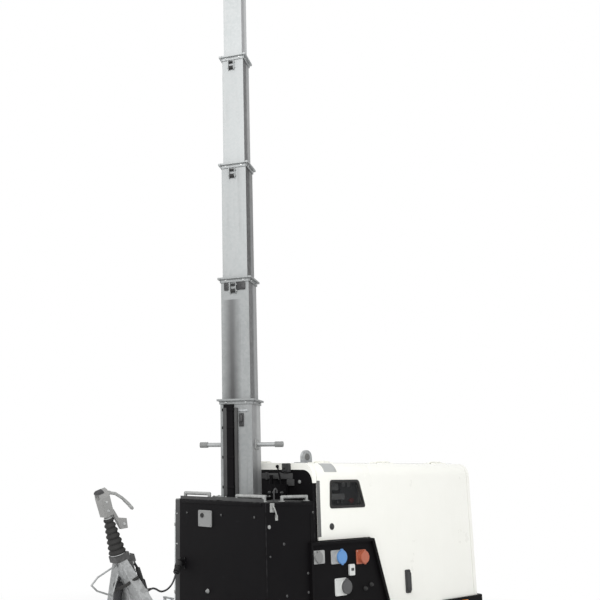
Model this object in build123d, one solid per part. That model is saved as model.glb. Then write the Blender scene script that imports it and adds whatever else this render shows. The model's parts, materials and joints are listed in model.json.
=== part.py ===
"""A mobile light tower: a trailer with a telescopic mast, four floodlights and a generator canopy.

Millimetres. +X points forwards to the towing end, +Y to the trailer's left and +Z up. The origin lies on the
ground under the middle of the bounding box. The mast stands raised and turned a little to the left, the
drawbar is folded up, the doors are shut and the four outriggers are out, with their feet on the ground.
"""

import os
from math import cos, radians, sin

from build123d import *

os.makedirs("parts", exist_ok=True)

# Places along the trailer, measured back from the front face of the mast housing
FRONT_X = 766.4
HOUSING_L = 505.0
CANOPY_START = 520.0
CANOPY_END = 2580.0
AXLE_BACK = 1330.0
MAST_BACK = 233.0
HINGE_AHEAD = 700.0

# Body
BODY_W = 1000.0
HOUSING_PROUD = 20.0
SHEET = 25.0
HOUSING_TOP = 1500.0
CANOPY_TOP = 1785.0
SHOULDER_R = 100.0
DOOR_T = 30.0
WALL_T = 40.0
SILL_TOP = 620.0
DOOR_GAP = 6.0
DOOR_IN = 160.0
EDGE_SIDE = 6.0
EDGE_TOP = 52.0
SEAM = 5.0
EYE_BACK = 972.0
EYE_LIFT = 53.0

# Chassis
RAIL_W = 60.0
RAIL_H = 100.0
RAIL_SET_IN = 100.0
RAIL_TOP = 560.0
SLEEVE = 82.0
ARM = 70.0
SLIDE_PLAY = 0.5
FORK_W = 170.0
FORK_H = 70.0
FORK_WALL = 6.0
FORK_SPREAD = 960.0

# Outriggers
JACK_OUT = 600.0
ARM_L = 1030.0
JACK_R = 30.0
JACK_WALL = 5.0
JACK_BOTTOM = 230.0
JACK_TOP = 600.0
LEG_TOP = 400.0
FOOT = 200.0
FOOT_T = 10.0
OUT_BACK = {"fl": 70.0, "fr": 165.0, "rl": 2460.0, "rr": 2365.0}

# Wheels
WHEEL_R = 290.0
WHEEL_LIFT = 3.0
TYRE_W = 166.0
RIM_R = 168.0
WHEEL_OUT = 120.0
STUB_R = 20.0
RUN_PLAY = 0.3
GUARD_R = 322.0
GUARD_T = 4.0

# Mast
MAST_TURN = 32.5
MAST_SIZE = 260.0
MAST_STEP = 24.0
MAST_WALL = 4.0
MAST_TOP = 2285.0
MAST_RISE = 1000.0
MAST_COUNT = 7
SECTION_L = 1400.0
FLANGE = 26.0
FLANGE_T = 14.0
PAD_PLAY = 0.5
GUIDE_H = 96.0
MAST_FOOT_Z = 620.0
RING_R = 205.0
RING_W = 30.0
RING_T = 24.0

# Folded drawbar, drawn lying flat along +X from its hinge and then raised
DRAWBAR_RAISE = 71.0
HINGE_Z = 500.0
HINGE_R = 45.0
PIN_R = 12.5
LEG_W = 50.0
LEG_H = 70.0
APEX_U = 590.0
FOLD_COUNT = 7
FOLD_PITCH = 38.0
HEAD_L = 205.0
HANDLE_BACK = 46.0
FORK_PLATE = 8.0

# Derived places
REAR_X = FRONT_X - CANOPY_END
MAST_X = FRONT_X - MAST_BACK
AXLE_X = FRONT_X - AXLE_BACK
AXLE_Z = WHEEL_R + WHEEL_LIFT
HINGE_X = FRONT_X + HINGE_AHEAD
HALF_W = BODY_W / 2
HOUSING_HALF = HALF_W + HOUSING_PROUD
RAIL_Y = HALF_W - RAIL_SET_IN
OUT_REACH = HALF_W + JACK_OUT
WHEEL_Y = HALF_W + WHEEL_OUT
DOOR_LINE_Y = HALF_W - DOOR_IN
EYE_X = FRONT_X - EYE_BACK
EYE_Z = CANOPY_TOP + EYE_LIFT
RAIL_BOTTOM = RAIL_TOP - RAIL_H
RAIL_IN = RAIL_Y - RAIL_W / 2
RAIL_OUT = RAIL_Y + RAIL_W / 2
SLEEVE_Z = RAIL_TOP - RAIL_H / 2
DOOR_FRONT_X = FRONT_X - CANOPY_START - WALL_T - DOOR_GAP
DOOR_REAR_X = REAR_X + WALL_T + DOOR_GAP


def block(x, y, z):
    """A box between two corners, given as (low, high) pairs."""
    size = [high - low for low, high in (x, y, z)]
    middle = [(low + high) / 2 for low, high in (x, y, z)]
    return Pos(*middle) * Box(*size)


def rod(start, end, radius):
    """A round bar from one point to another."""
    start, end = Vector(*start), Vector(*end)
    plane = Plane(origin=start, z_dir=end - start)
    return plane * Cylinder(radius, (end - start).length, align=(Align.CENTER, Align.CENTER, Align.MIN))


def side_prism(outline, y_low, y_high):
    """An outline of (x, z) points, as thick as the two y values say."""
    plane = Plane(origin=(0, y_high, 0), x_dir=(1, 0, 0), z_dir=(0, -1, 0))
    return extrude(plane * make_face(Polyline(*outline, close=True)), amount=y_high - y_low)


def top_prism(outline, z_low, z_high):
    """An outline of (x, y) points, as tall as the two z values say."""
    plane = Plane(origin=(0, 0, z_low))
    return extrude(plane * make_face(Polyline(*outline, close=True)), amount=z_high - z_low)


def mirrored(shape):
    """The same piece on the other side of the trailer."""
    return mirror(shape, about=Plane.XZ)


def save(node, shape):
    """Writes one sub-part."""
    export_step(Compound(children=list(shape.solids())) if len(shape.solids()) > 1 else shape.solids()[0],
                f"parts/{node}.step")


# Chassis, axle and running gear

def chassis_frame():
    """Two rails that run forward to the drawbar hinge, cross members, outrigger sleeves and fork pockets."""
    rear = REAR_X + 20
    frame = None
    for side in (1, -1):
        rail = block((rear, HINGE_X), (side * RAIL_Y - RAIL_W / 2, side * RAIL_Y + RAIL_W / 2),
                     (RAIL_BOTTOM, RAIL_TOP))
        frame = rail if frame is None else frame + rail
    eye_cut_x = HINGE_X - HINGE_R - 30
    frame -= block((eye_cut_x, HINGE_X + 1), (-HALF_W, HALF_W), (RAIL_BOTTOM - 1, RAIL_TOP + 1))
    for side in (1, -1):
        low, high = side * RAIL_Y - RAIL_W / 2, side * RAIL_Y + RAIL_W / 2
        frame += block((eye_cut_x, HINGE_X), (low, high), (HINGE_Z - HINGE_R, HINGE_Z + HINGE_R))
        frame += rod((HINGE_X, low, HINGE_Z), (HINGE_X, high, HINGE_Z), HINGE_R)
        frame -= rod((HINGE_X, low - 1, HINGE_Z), (HINGE_X, high + 1, HINGE_Z), PIN_R + RUN_PLAY)
    cross_places = [HINGE_X - 210, FRONT_X - 330, AXLE_X + 60, AXLE_X - 130, REAR_X + 50]
    for x in cross_places:
        frame += block((x - 30, x + 30), (-RAIL_IN, RAIL_IN), (RAIL_BOTTOM, RAIL_TOP))
    for back in OUT_BACK.values():
        x = FRONT_X - back
        frame += block((x - SLEEVE / 2, x + SLEEVE / 2), (-HALF_W + 10, HALF_W - 10),
                       (SLEEVE_Z - SLEEVE / 2, SLEEVE_Z + SLEEVE / 2))
    for x in (AXLE_X - FORK_SPREAD / 2, AXLE_X + FORK_SPREAD / 2):
        outer = (FORK_W / 2 + FORK_WALL, FORK_H / 2 + FORK_WALL)
        frame += block((x - outer[0], x + outer[0]), (-HALF_W + 20, HALF_W - 20),
                       (SLEEVE_Z - outer[1], SLEEVE_Z + outer[1]))
        frame -= block((x - FORK_W / 2, x + FORK_W / 2), (-HALF_W, HALF_W),
                       (SLEEVE_Z - FORK_H / 2, SLEEVE_Z + FORK_H / 2))
    bore = ARM / 2 + SLIDE_PLAY
    for back in OUT_BACK.values():
        x = FRONT_X - back
        frame -= block((x - bore, x + bore), (-HALF_W, HALF_W), (SLEEVE_Z - bore, SLEEVE_Z + bore))
    return frame


def axle():
    """Square beam under the rails, trailing arms and stub axles."""
    beam_z = (RAIL_BOTTOM - 70, RAIL_BOTTOM)
    beam_x = AXLE_X + 120
    shape = block((beam_x - 35, beam_x + 35), (-RAIL_OUT - 30, RAIL_OUT + 30), beam_z)
    for side in (1, -1):
        inner, outer = sorted((side * (RAIL_OUT + 30), side * (RAIL_OUT + 60)))
        arm = side_prism([(beam_x + 35, beam_z[1]), (beam_x - 35, beam_z[1]), (AXLE_X - 40, AXLE_Z + 20),
                          (AXLE_X - 40, AXLE_Z - 40), (AXLE_X + 40, AXLE_Z - 40), (beam_x + 35, beam_z[0])],
                         inner, outer)
        shape += arm
        inner, outer = side * (RAIL_OUT + 45), side * (WHEEL_Y + 48)
        shape += rod((AXLE_X, inner, AXLE_Z), (AXLE_X, outer, AXLE_Z), STUB_R)
    return shape


def tyre_ring():
    """A road tyre about the Y axis, with rounded shoulders and a flat tread."""
    half, bead = TYRE_W / 2, TYRE_W / 2 - 22
    shoulder = WHEEL_R - 22
    edges = [
        Line((RIM_R, -bead), (RIM_R, bead)),
        ThreePointArc((RIM_R, bead), ((RIM_R + shoulder) / 2, half), (shoulder, half - 8)),
        ThreePointArc((shoulder, half - 8), (WHEEL_R - 6, half - 14), (WHEEL_R, half - 26)),
        Line((WHEEL_R, half - 26), (WHEEL_R, -half + 26)),
        ThreePointArc((WHEEL_R, -half + 26), (WHEEL_R - 6, -half + 14), (shoulder, -half + 8)),
        ThreePointArc((shoulder, -half + 8), ((RIM_R + shoulder) / 2, -half), (RIM_R, -bead)),
    ]
    return revolve(make_face(edges), axis=Axis.Y)


def rim_wheel():
    """Pressed steel wheel: barrel with lips, dished disc with eight holes, and hub, cap outwards (+Y)."""
    lip, bead = RIM_R - 0.2, TYRE_W / 2 - 18
    outline = [(STUB_R + RUN_PLAY, -40), (STUB_R + RUN_PLAY, 46), (62, 46), (62, 26), (100, 22),
               (lip - 14, 8), (lip - 14, bead), (lip, bead), (lip, -bead), (lip - 8, -bead), (lip - 8, -6),
               (100, 14), (62, 16), (62, -40)]
    wheel = revolve(make_face(Polyline(*outline, close=True)), axis=Axis.Y)
    holes = 8
    for k in range(holes):
        angle = radians(360 / holes * k)
        x, z = 118 * cos(angle), 118 * sin(angle)
        wheel -= rod((x, -10, z), (x, 40, z), 13)
    collar = rod((0, 46, 0), (0, 58, 0), 34) - rod((0, 45, 0), (0, 49, 0), 22)
    return wheel + rod((0, 49, 0), (0, 58, 0), 34) + collar


def mudguards():
    """One rounded guard over each wheel, on two brackets from the rail."""
    guards = None
    y_in, y_out = HALF_W + 20, WHEEL_Y + TYRE_W / 2 + 12
    for side in (1, -1):
        ring = rod((AXLE_X, y_in, AXLE_Z), (AXLE_X, y_out, AXLE_Z), GUARD_R)
        ring -= rod((AXLE_X, y_in + GUARD_T, AXLE_Z), (AXLE_X, y_out + 1, AXLE_Z), GUARD_R - GUARD_T)
        ring -= block((AXLE_X - GUARD_R - 1, AXLE_X + GUARD_R + 1), (y_in - 1, y_out + 1),
                      (AXLE_Z - GUARD_R - 1, AXLE_Z + 120))
        for x in (AXLE_X - 180, AXLE_X + 180):
            ring += block((x - 20, x + 20), (RAIL_OUT, y_in), (SLEEVE_Z - 30, SLEEVE_Z + 20))
        guard = ring if side == 1 else mirrored(ring)
        guards = guard if guards is None else guards + guard
    return guards


def outrigger(corner):
    """One outrigger: the sliding arm with its jack tube and crank, and the leg with its foot."""
    side = 1 if corner.endswith("l") else -1
    x = FRONT_X - OUT_BACK[corner]
    tube = rod((x, OUT_REACH, JACK_BOTTOM), (x, OUT_REACH, JACK_TOP), JACK_R)
    arm = block((x - ARM / 2, x + ARM / 2), (OUT_REACH - ARM_L, OUT_REACH - JACK_R + 8),
                (SLEEVE_Z - ARM / 2, SLEEVE_Z + ARM / 2)) + tube
    arm -= rod((x, OUT_REACH, JACK_BOTTOM - 1), (x, OUT_REACH, JACK_TOP - JACK_WALL), JACK_R - JACK_WALL)
    crank_z, crank_y = JACK_TOP - 40, OUT_REACH + JACK_R
    arm += rod((x, crank_y - 3, crank_z), (x, crank_y + 36, crank_z), 9)
    arm += block((x - 10, x + 10), (crank_y + 28, crank_y + 36), (crank_z - 150, crank_z + 12))
    arm += rod((x, crank_y + 34, crank_z - 138), (x, crank_y + 96, crank_z - 138), 12)
    leg = rod((x, OUT_REACH, FOOT_T), (x, OUT_REACH, LEG_TOP), JACK_R - JACK_WALL - SLIDE_PLAY)
    plate = Pos(x, OUT_REACH, FOOT_T / 2) * Box(FOOT, FOOT, FOOT_T)
    leg += fillet(plate.edges().filter_by(Axis.Z), 25)
    leg += Pos(x, OUT_REACH, FOOT_T + 12) * Cone(46, JACK_R - JACK_WALL - SLIDE_PLAY, 24)
    return (arm, leg) if side == 1 else (mirrored(arm), mirrored(leg))


# Mast

def turned(shape):
    """Puts a mast piece, drawn about the mast's own axis facing +X, at its place on the trailer."""
    return Pos(MAST_X, 0, 0) * Rot(0, 0, MAST_TURN) * shape


def square_tube(size, wall, z_low, z_high):
    """An upright square tube."""
    inner = size / 2 - wall
    return (block((-size / 2, size / 2), (-size / 2, size / 2), (z_low, z_high))
            - block((-inner, inner), (-inner, inner), (z_low - 1, z_high + 1)))


def mast_section(index):
    """One mast tube with its top flange, slide pads and the cable roller under the flange."""
    size = MAST_SIZE - MAST_STEP * index
    top = MAST_TOP + MAST_RISE * index
    bottom = MAST_FOOT_Z if index == 0 else top - SECTION_L
    shape = square_tube(size, MAST_WALL, bottom, top)
    opening = size / 2 - MAST_STEP / 2 + PAD_PLAY
    rim = size / 2 + FLANGE
    last = index == MAST_COUNT - 1
    flange = block((-rim, rim), (-rim, rim), (top - FLANGE_T, top))
    flange = fillet(flange.edges().filter_by(Axis.Z), 8)
    band = square_tube(size + 16, 8, top - FLANGE_T - 26, top - FLANGE_T)
    if last:
        shape += flange + band
        return turned(shape)
    cut = block((-opening, opening), (-opening, opening), (bottom - 1, top + 1))
    shape += (flange - cut) + band
    pads = square_tube(2 * (size / 2 - MAST_WALL), size / 2 - MAST_WALL - opening, top - 110, top)
    shape += pads
    if index == 0:
        shape += rod((0, 0, MAST_FOOT_Z - 20), (0, 0, MAST_FOOT_Z), 185)
        shape += rod((0, 0, RAIL_TOP + 4), (0, 0, MAST_FOOT_Z), 60)
        disc = rod((0, 0, HOUSING_TOP + 2), (0, 0, HOUSING_TOP + RING_T), RING_R - SLIDE_PLAY)
        inner = size / 2 - MAST_WALL
        shape += disc - block((-inner, inner), (-inner, inner), (HOUSING_TOP, HOUSING_TOP + RING_T + 1))
    else:
        face = size / 2
        guide_y, guide_z = -12, top - FLANGE_T - 26
        for side in (1, -1):
            y = guide_y + side * 24
            low = guide_z - GUIDE_H
            outline = [(face, guide_z), (face + 24, guide_z), (face + 24, guide_z - 60), (face + 16, low),
                       (face, low)]
            shape += side_prism(outline, y - 2.5, y + 2.5)
        shape += rod((face + 9, guide_y - 24, guide_z - 74), (face + 9, guide_y + 24, guide_z - 74), 15)
        shape += rod((face + 10, guide_y - 24, guide_z - 22), (face + 10, guide_y + 24, guide_z - 22), 8)
    return turned(shape)


def mast_base():
    """Bearing pot on the chassis that carries the turning mast."""
    half = 160
    base = block((MAST_X - half, MAST_X + half), (-RAIL_OUT, RAIL_OUT), (RAIL_TOP, RAIL_TOP + 12))
    base += rod((MAST_X, 0, RAIL_TOP), (MAST_X, 0, MAST_FOOT_Z - 20.3), 150)
    return base - rod((MAST_X, 0, RAIL_TOP - 1), (MAST_X, 0, MAST_FOOT_Z), 60 + RUN_PLAY)


def turning_bars():
    """Two grips, one on each side of the lowest mast tube, for turning the mast by hand."""
    z, reach = 1930.0, 345.0
    bars = None
    for side in (1, -1):
        bar = rod((0, side * MAST_SIZE / 2, z), (0, side * reach, z), 17)
        bar += rod((0, side * MAST_SIZE / 2, z), (0, side * (MAST_SIZE / 2 + 8), z), 30)
        bar += rod((0, side * (reach - 60), z), (0, side * reach, z), 21)
        bars = bar if bars is None else bars + bar
    return turned(bars)


def cable_duct():
    """Black channel up the front of the lowest mast tube."""
    x, y = MAST_SIZE / 2, -57.0
    duct = block((x, x + 34), (y - 42, y + 42), (HOUSING_TOP + RING_T, MAST_TOP - FLANGE_T - 28))
    duct = fillet(duct.edges().filter_by(Axis.Z).group_by(Axis.X)[-1], 14)
    return turned(duct)


# Floodlights

LAMP_W = 290.0
LAMP_H = 250.0
LAMP_D = 70.0
LAMP_PITCH = 312.0
BAR_SIZE = 60.0
HEAD_Z = MAST_TOP + MAST_RISE * (MAST_COUNT - 1)
LAMP_PIVOT_Z = HEAD_Z + 30 + BAR_SIZE + 165
LAMP_TILT = 20.0


def lamp_places():
    """Distance of each lamp's middle from the mast's axis along the head bar."""
    return [LAMP_PITCH * (k - 1.5) for k in range(4)]


def lamp_head():
    """Stub, cross bar and a fork for each lamp."""
    bar_low = HEAD_Z + 30
    bar_high = bar_low + BAR_SIZE
    reach = 1.5 * LAMP_PITCH + 60
    shape = block((-45, 45), (-45, 45), (HEAD_Z, bar_low))
    shape += block((-BAR_SIZE / 2, BAR_SIZE / 2), (-reach, reach), (bar_low, bar_high))
    fork_y = LAMP_W / 2 + 2
    for y in lamp_places():
        for side in (1, -1):
            near, far = sorted((y + side * fork_y, y + side * (fork_y + 6)))
            shape += block((-18, 18), (near, far), (bar_high + 6, LAMP_PIVOT_Z + 18))
            pin_end = y + side * (LAMP_W / 2 - 14)
            shape += rod((0, y + side * (fork_y + 3), LAMP_PIVOT_Z), (0, pin_end, LAMP_PIVOT_Z), 8)
        shape += block((-18, 18), (y - fork_y - 6, y + fork_y + 6), (bar_high, bar_high + 6))
    return turned(shape)


def floodlight(y):
    """One LED floodlight: framed glass in front, cooling fins behind, tilted a little downwards."""
    half_w, half_h, half_d = LAMP_W / 2, LAMP_H / 2, LAMP_D / 2
    lamp = block((-half_d + 30, half_d), (-half_w, half_w), (-half_h, half_h))
    lamp = fillet(lamp.edges().filter_by(Axis.X), 18)
    lamp -= block((half_d - 8, half_d + 1), (-half_w + 16, half_w - 16), (-half_h + 16, half_h - 16))
    fins = 9
    for k in range(fins):
        fin_y = (k - (fins - 1) / 2) * (LAMP_W - 50) / (fins - 1)
        lamp += block((-half_d, -half_d + 31), (fin_y - 3, fin_y + 3), (-half_h + 14, half_h - 14))
    for side in (1, -1):
        low, high = sorted((side * half_w, side * (half_w - 20)))
        lamp += block((-24, 20), (low, high), (-24, 24))
        near, far = sorted((side * (half_w + 1), side * (half_w - 16)))
        lamp -= rod((0, near, 0), (0, far, 0), 8 + RUN_PLAY)
    return turned(Pos(0, y, LAMP_PIVOT_Z) * Rot(0, LAMP_TILT, 0) * lamp)


# Body

def body_section(width, top, radius, x_low, x_high, z_low):
    """The canopy's outline, square below and rounded at the shoulders, as long as the two x values say."""
    profile = Pos(0, (z_low + top) / 2) * Rectangle(width, top - z_low)
    profile = fillet(profile.vertices().group_by(Axis.Y)[-1], radius)
    plane = Plane(origin=(x_low, 0, 0), x_dir=(0, 1, 0), z_dir=(1, 0, 0))
    return extrude(plane * profile, amount=x_high - x_low)


def mast_housing():
    """Sheet housing round the foot of the mast, open below, with a ring round the mast in its top."""
    x_low, x_high = FRONT_X - HOUSING_L, FRONT_X
    shell = block((x_low, x_high), (-HOUSING_HALF, HOUSING_HALF), (RAIL_TOP, HOUSING_TOP))
    shell = fillet(shell.edges().filter_by(Axis.Z).group_by(Axis.X)[-1], 18)
    shell -= block((x_low + SHEET, x_high - SHEET), (-HOUSING_HALF + SHEET, HOUSING_HALF - SHEET),
                   (RAIL_TOP - 1, HOUSING_TOP - SHEET))
    shell += rod((MAST_X, 0, HOUSING_TOP), (MAST_X, 0, HOUSING_TOP + RING_T), RING_R + RING_W)
    return shell - rod((MAST_X, 0, HOUSING_TOP - SHEET - 1), (MAST_X, 0, HOUSING_TOP + RING_T + 1), RING_R)


def base_tray():
    """Black bunded tray under the canopy, with the sill that shows below the doors."""
    x = (REAR_X, FRONT_X - CANOPY_START)
    tray = block(x, (-HALF_W + 3, HALF_W - 3), (RAIL_TOP, SILL_TOP))
    tray -= block((x[0] + 20, x[1] - 20), (-HALF_W + 23, HALF_W - 23), (RAIL_TOP + 8, SILL_TOP + 1))
    return tray


def canopy_wall(x_low, x_high):
    """A whole end wall of the canopy."""
    return body_section(BODY_W, CANOPY_TOP, SHOULDER_R, x_low, x_high, SILL_TOP)


def front_inset(margin):
    """The space that the black front wall fills inside the canopy's edge, longer by a margin at each end."""
    x_high = FRONT_X - CANOPY_START
    return body_section(BODY_W - 2 * EDGE_SIDE, CANOPY_TOP - EDGE_TOP, SHOULDER_R - EDGE_SIDE / 2,
                        x_high - WALL_T - margin, x_high + margin, SILL_TOP - margin)


def canopy_skin(x_low, x_high, z_low):
    """Sides, shoulders and roof of the canopy as one thickness of panel."""
    outer = body_section(BODY_W, CANOPY_TOP, SHOULDER_R, x_low, x_high, z_low)
    inner = body_section(BODY_W - 2 * DOOR_T, CANOPY_TOP - DOOR_T, SHOULDER_R - DOOR_T, x_low - 1,
                         x_high + 1, z_low - 1)
    return outer - inner


HINGE_BACKS = (790.0, 1550.0, 2300.0)
HINGE_HALF = 80.0
HINGE_LIFT = 12.0
BARREL_R = 9.0
DOOR_PIN_R = 4.0


def door_hinge_parts(back):
    """The roof's and the left door's halves of one hinge, as two shapes."""
    x, y, z = FRONT_X - back, DOOR_LINE_Y, CANOPY_TOP + HINGE_LIFT
    middle = 26.0
    roof = block((x - HINGE_HALF, x + HINGE_HALF), (y - 70, y - 14), (CANOPY_TOP, CANOPY_TOP + 6))
    for low, high in ((x - HINGE_HALF, x - middle), (x + middle, x + HINGE_HALF)):
        roof += rod((low, y, z), (high, y, z), BARREL_R)
        roof += block((low, high), (y - 14, y), (CANOPY_TOP, z - 4))
    roof -= block((x - HINGE_HALF - 1, x + HINGE_HALF + 1), (y - SEAM / 2, y + BARREL_R), (CANOPY_TOP - 1,
                                                                                         z - BARREL_R))
    roof += rod((x - HINGE_HALF, y, z), (x + HINGE_HALF, y, z), DOOR_PIN_R)
    door = block((x - HINGE_HALF, x + HINGE_HALF), (y + 14, y + 60), (CANOPY_TOP, CANOPY_TOP + 6))
    inner = middle - 2
    door += rod((x - inner, y, z), (x + inner, y, z), BARREL_R)
    door += block((x - inner, x + inner), (y, y + 14), (CANOPY_TOP + 1, z - 4))
    door += block((x - inner, x + inner), (y + SEAM / 2, y + 14), (CANOPY_TOP, CANOPY_TOP + 2))
    door -= rod((x - inner - 1, y, z), (x + inner + 1, y, z), DOOR_PIN_R + RUN_PLAY)
    return roof, door


def canopy_shell():
    """White roof strip between the doors, with its halves of their hinges, the front rim and rear wall."""
    x_low, x_high = REAR_X + WALL_T, FRONT_X - CANOPY_START - WALL_T
    half = DOOR_LINE_Y - SEAM / 2
    roof = block((x_low, x_high), (-half, half), (CANOPY_TOP - DOOR_T, CANOPY_TOP))
    for back in HINGE_BACKS:
        fixed, _ = door_hinge_parts(back)
        roof += fixed + mirrored(fixed)
    wall = canopy_wall(REAR_X, REAR_X + WALL_T)
    wall -= block((REAR_X - 1, REAR_X + WALL_T + 1), (-300, 300), (900, 1500))
    edge = canopy_wall(x_high, x_high + WALL_T) - front_inset(1)
    edge -= block((x_high - 1, x_high + WALL_T + 1), (-HALF_W - 1, HALF_W + 1),
                  (SILL_TOP - 1, CANOPY_TOP - SHOULDER_R - EDGE_TOP))
    return roof + wall + edge


# The left door's window and the notch round the socket panel: distances back from the front face, and heights
WINDOW = [(722.0, 1645.0), (1040.0, 1645.0), (1112.0, 1447.0), (711.0, 1447.0)]
NOTCH_TOP = 1198.0
NOTCH_BACK_TOP = 1158.0
NOTCH_BACK_BOTTOM = 1346.0


def notch_outline(gap):
    """The socket panel's outline grown by a gap, from the front wall back to the slanting edge."""
    return [(FRONT_X - CANOPY_START - WALL_T + 40, SILL_TOP - 40),
            (FRONT_X - CANOPY_START - WALL_T + 40, NOTCH_TOP + gap),
            (FRONT_X - NOTCH_BACK_TOP - gap, NOTCH_TOP + gap),
            (FRONT_X - NOTCH_BACK_BOTTOM - gap, SILL_TOP + gap),
            (FRONT_X - NOTCH_BACK_BOTTOM - gap, SILL_TOP - 40)]


def window_outline(inset):
    """The window's outline, drawn in by an inset."""
    (x0, z1), (x1, _), (x2, z0), (x3, _) = WINDOW
    return [(FRONT_X - x0 - inset, z1 - inset), (FRONT_X - x1 + inset, z1 - inset),
            (FRONT_X - x2 + inset, z0 + inset), (FRONT_X - x3 - inset, z0 + inset)]


def door_skin():
    """The left side and shoulder of the canopy, out from the roof's seam."""
    skin = canopy_skin(DOOR_REAR_X, DOOR_FRONT_X, SILL_TOP + DOOR_GAP)
    return skin & block((DOOR_REAR_X, DOOR_FRONT_X), (DOOR_LINE_Y + SEAM / 2, HALF_W + 1),
                        (SILL_TOP, CANOPY_TOP + 1))


def door_left():
    """Gull-wing door with a slanting notch for the socket panel and a window over the control panel."""
    door = door_skin()
    door -= side_prism(notch_outline(DOOR_GAP), HALF_W - 2 * DOOR_T, HALF_W + 1)
    door -= side_prism(window_outline(0), HALF_W - 2 * DOOR_T, HALF_W + 1)
    for back in HINGE_BACKS:
        _, moving = door_hinge_parts(back)
        door += moving
    return door + door_latch()


def door_right():
    """Gull-wing door with a louvred air inlet."""
    door = door_skin()
    for back in HINGE_BACKS:
        _, moving = door_hinge_parts(back)
        door += moving
    vent_x = (REAR_X + 300, REAR_X + 780)
    rows = 7
    for k in range(rows):
        z = 820 + 70 * k
        door -= block(vent_x, (HALF_W - 2 * DOOR_T, HALF_W + 1), (z, z + 34))
    return mirrored(door + door_latch())


def window_pane():
    """Tinted pane in the left door."""
    return side_prism(window_outline(0), HALF_W - 16, HALF_W - 6)


def door_latch():
    """Paddle latch on the outside of a door."""
    x = FRONT_X - 1610
    latch = block((x - 30, x + 30), (HALF_W, HALF_W + 8), (738, 918))
    latch = fillet(latch.edges().filter_by(Axis.Y), 10)
    latch += fillet(block((x - 20, x + 20), (HALF_W, HALF_W + 24), (756, 900)).edges().filter_by(Axis.Y), 6)
    return latch


def rear_grille():
    """Black louvre frame in the rear wall."""
    x = (REAR_X - 6, REAR_X + 30)
    grille = block(x, (-300, 300), (900, 1500)) - block((x[0] - 1, x[1] + 1), (-275, 275), (925, 1475))
    slats = 11
    for k in range(slats):
        z = 925 + 550 / slats * (k + 0.5)
        slat = Pos((x[0] + x[1]) / 2, 0, z) * Rot(0, 35, 0) * Box(34, 552, 4)
        grille += slat
    return grille


def front_wall():
    """Black front wall of the canopy, behind the mast."""
    return front_inset(0)


SOCKET_FACE_Y = HALF_W + 24
# name, distance back, height, flange, lid radius, lid depth, lid's distance behind the flange's middle
SOCKETS = [
    ("mains", 520.0, 1090.0, 116.0, 40.0, 30.0, 0.0),
    ("blue", 760.0, 1075.0, 108.0, 44.0, 42.0, 8.0),
    ("red", 1010.0, 1062.0, 108.0, 46.0, 46.0, 6.0),
    ("inlet", 765.0, 856.0, 128.0, 52.0, 40.0, 40.0),
]
BREAKER_BACK = 890.0
BREAKER_Z = 973.0


def socket_panel():
    """Black socket box that fills the notch and stands out from the side, with a recessed face."""
    inner = [(FRONT_X - CANOPY_START - WALL_T, SILL_TOP), (FRONT_X - CANOPY_START - WALL_T, NOTCH_TOP),
             (FRONT_X - NOTCH_BACK_TOP, NOTCH_TOP), (FRONT_X - NOTCH_BACK_BOTTOM, SILL_TOP)]
    panel = side_prism(inner, HALF_W - 130, HALF_W + 2)
    front, step = FRONT_X - 436, FRONT_X - HOUSING_L - 3
    outer = [(step, SILL_TOP), (step, NOTCH_TOP), (FRONT_X - NOTCH_BACK_TOP, NOTCH_TOP),
             (FRONT_X - NOTCH_BACK_BOTTOM, SILL_TOP)]
    panel += side_prism(outer, HALF_W + 0.3, HALF_W + 46)
    panel += block((step - 1, front), (HOUSING_HALF + 0.3, HALF_W + 46), (SILL_TOP, NOTCH_TOP))
    rim = 22
    face = [(front - rim, SILL_TOP + rim), (front - rim, NOTCH_TOP - rim),
            (FRONT_X - NOTCH_BACK_TOP + rim, NOTCH_TOP - rim), (FRONT_X - NOTCH_BACK_BOTTOM + rim + 14,
                                                               SILL_TOP + rim)]
    panel -= side_prism(face, SOCKET_FACE_Y, HALF_W + 60)
    return panel


def sockets():
    """Sockets and inlet, a square flange, collar and hinged lid each, and the breaker's cover."""
    x, z = FRONT_X - BREAKER_BACK, BREAKER_Z
    group = fillet(block((x - 29, x + 29), (SOCKET_FACE_Y, SOCKET_FACE_Y + 20), (z - 42, z + 42))
                   .edges().filter_by(Axis.Y), 8)
    for _, back, z, flange, lid_r, depth, lid_back in SOCKETS:
        x = FRONT_X - back
        one = block((x - flange / 2, x + flange / 2), (SOCKET_FACE_Y, SOCKET_FACE_Y + 8),
                    (z - flange / 2, z + flange / 2))
        one = fillet(one.edges().filter_by(Axis.Y), 8)
        x -= lid_back
        one += rod((x, SOCKET_FACE_Y, z), (x, SOCKET_FACE_Y + depth, z), lid_r)
        one += block((x - 12, x + 12), (SOCKET_FACE_Y + 6, SOCKET_FACE_Y + depth - 6),
                     (z + lid_r - 6, z + lid_r + 8))
        group += one
    return group


def control_panel():
    """Grey control box behind the window, on the front wall."""
    x_high = FRONT_X - CANOPY_START - WALL_T
    return block((x_high - 540, x_high), (HALF_W - 250, HALF_W - 60),
                 (WINDOW[2][1] - 47, WINDOW[0][1] + 45))


def engine_block():
    """Engine and generator as one plain mass on the tray."""
    return block((REAR_X + 280, AXLE_X + 80), (-230, 230), (RAIL_TOP + 8, CANOPY_TOP - 605))


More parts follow.
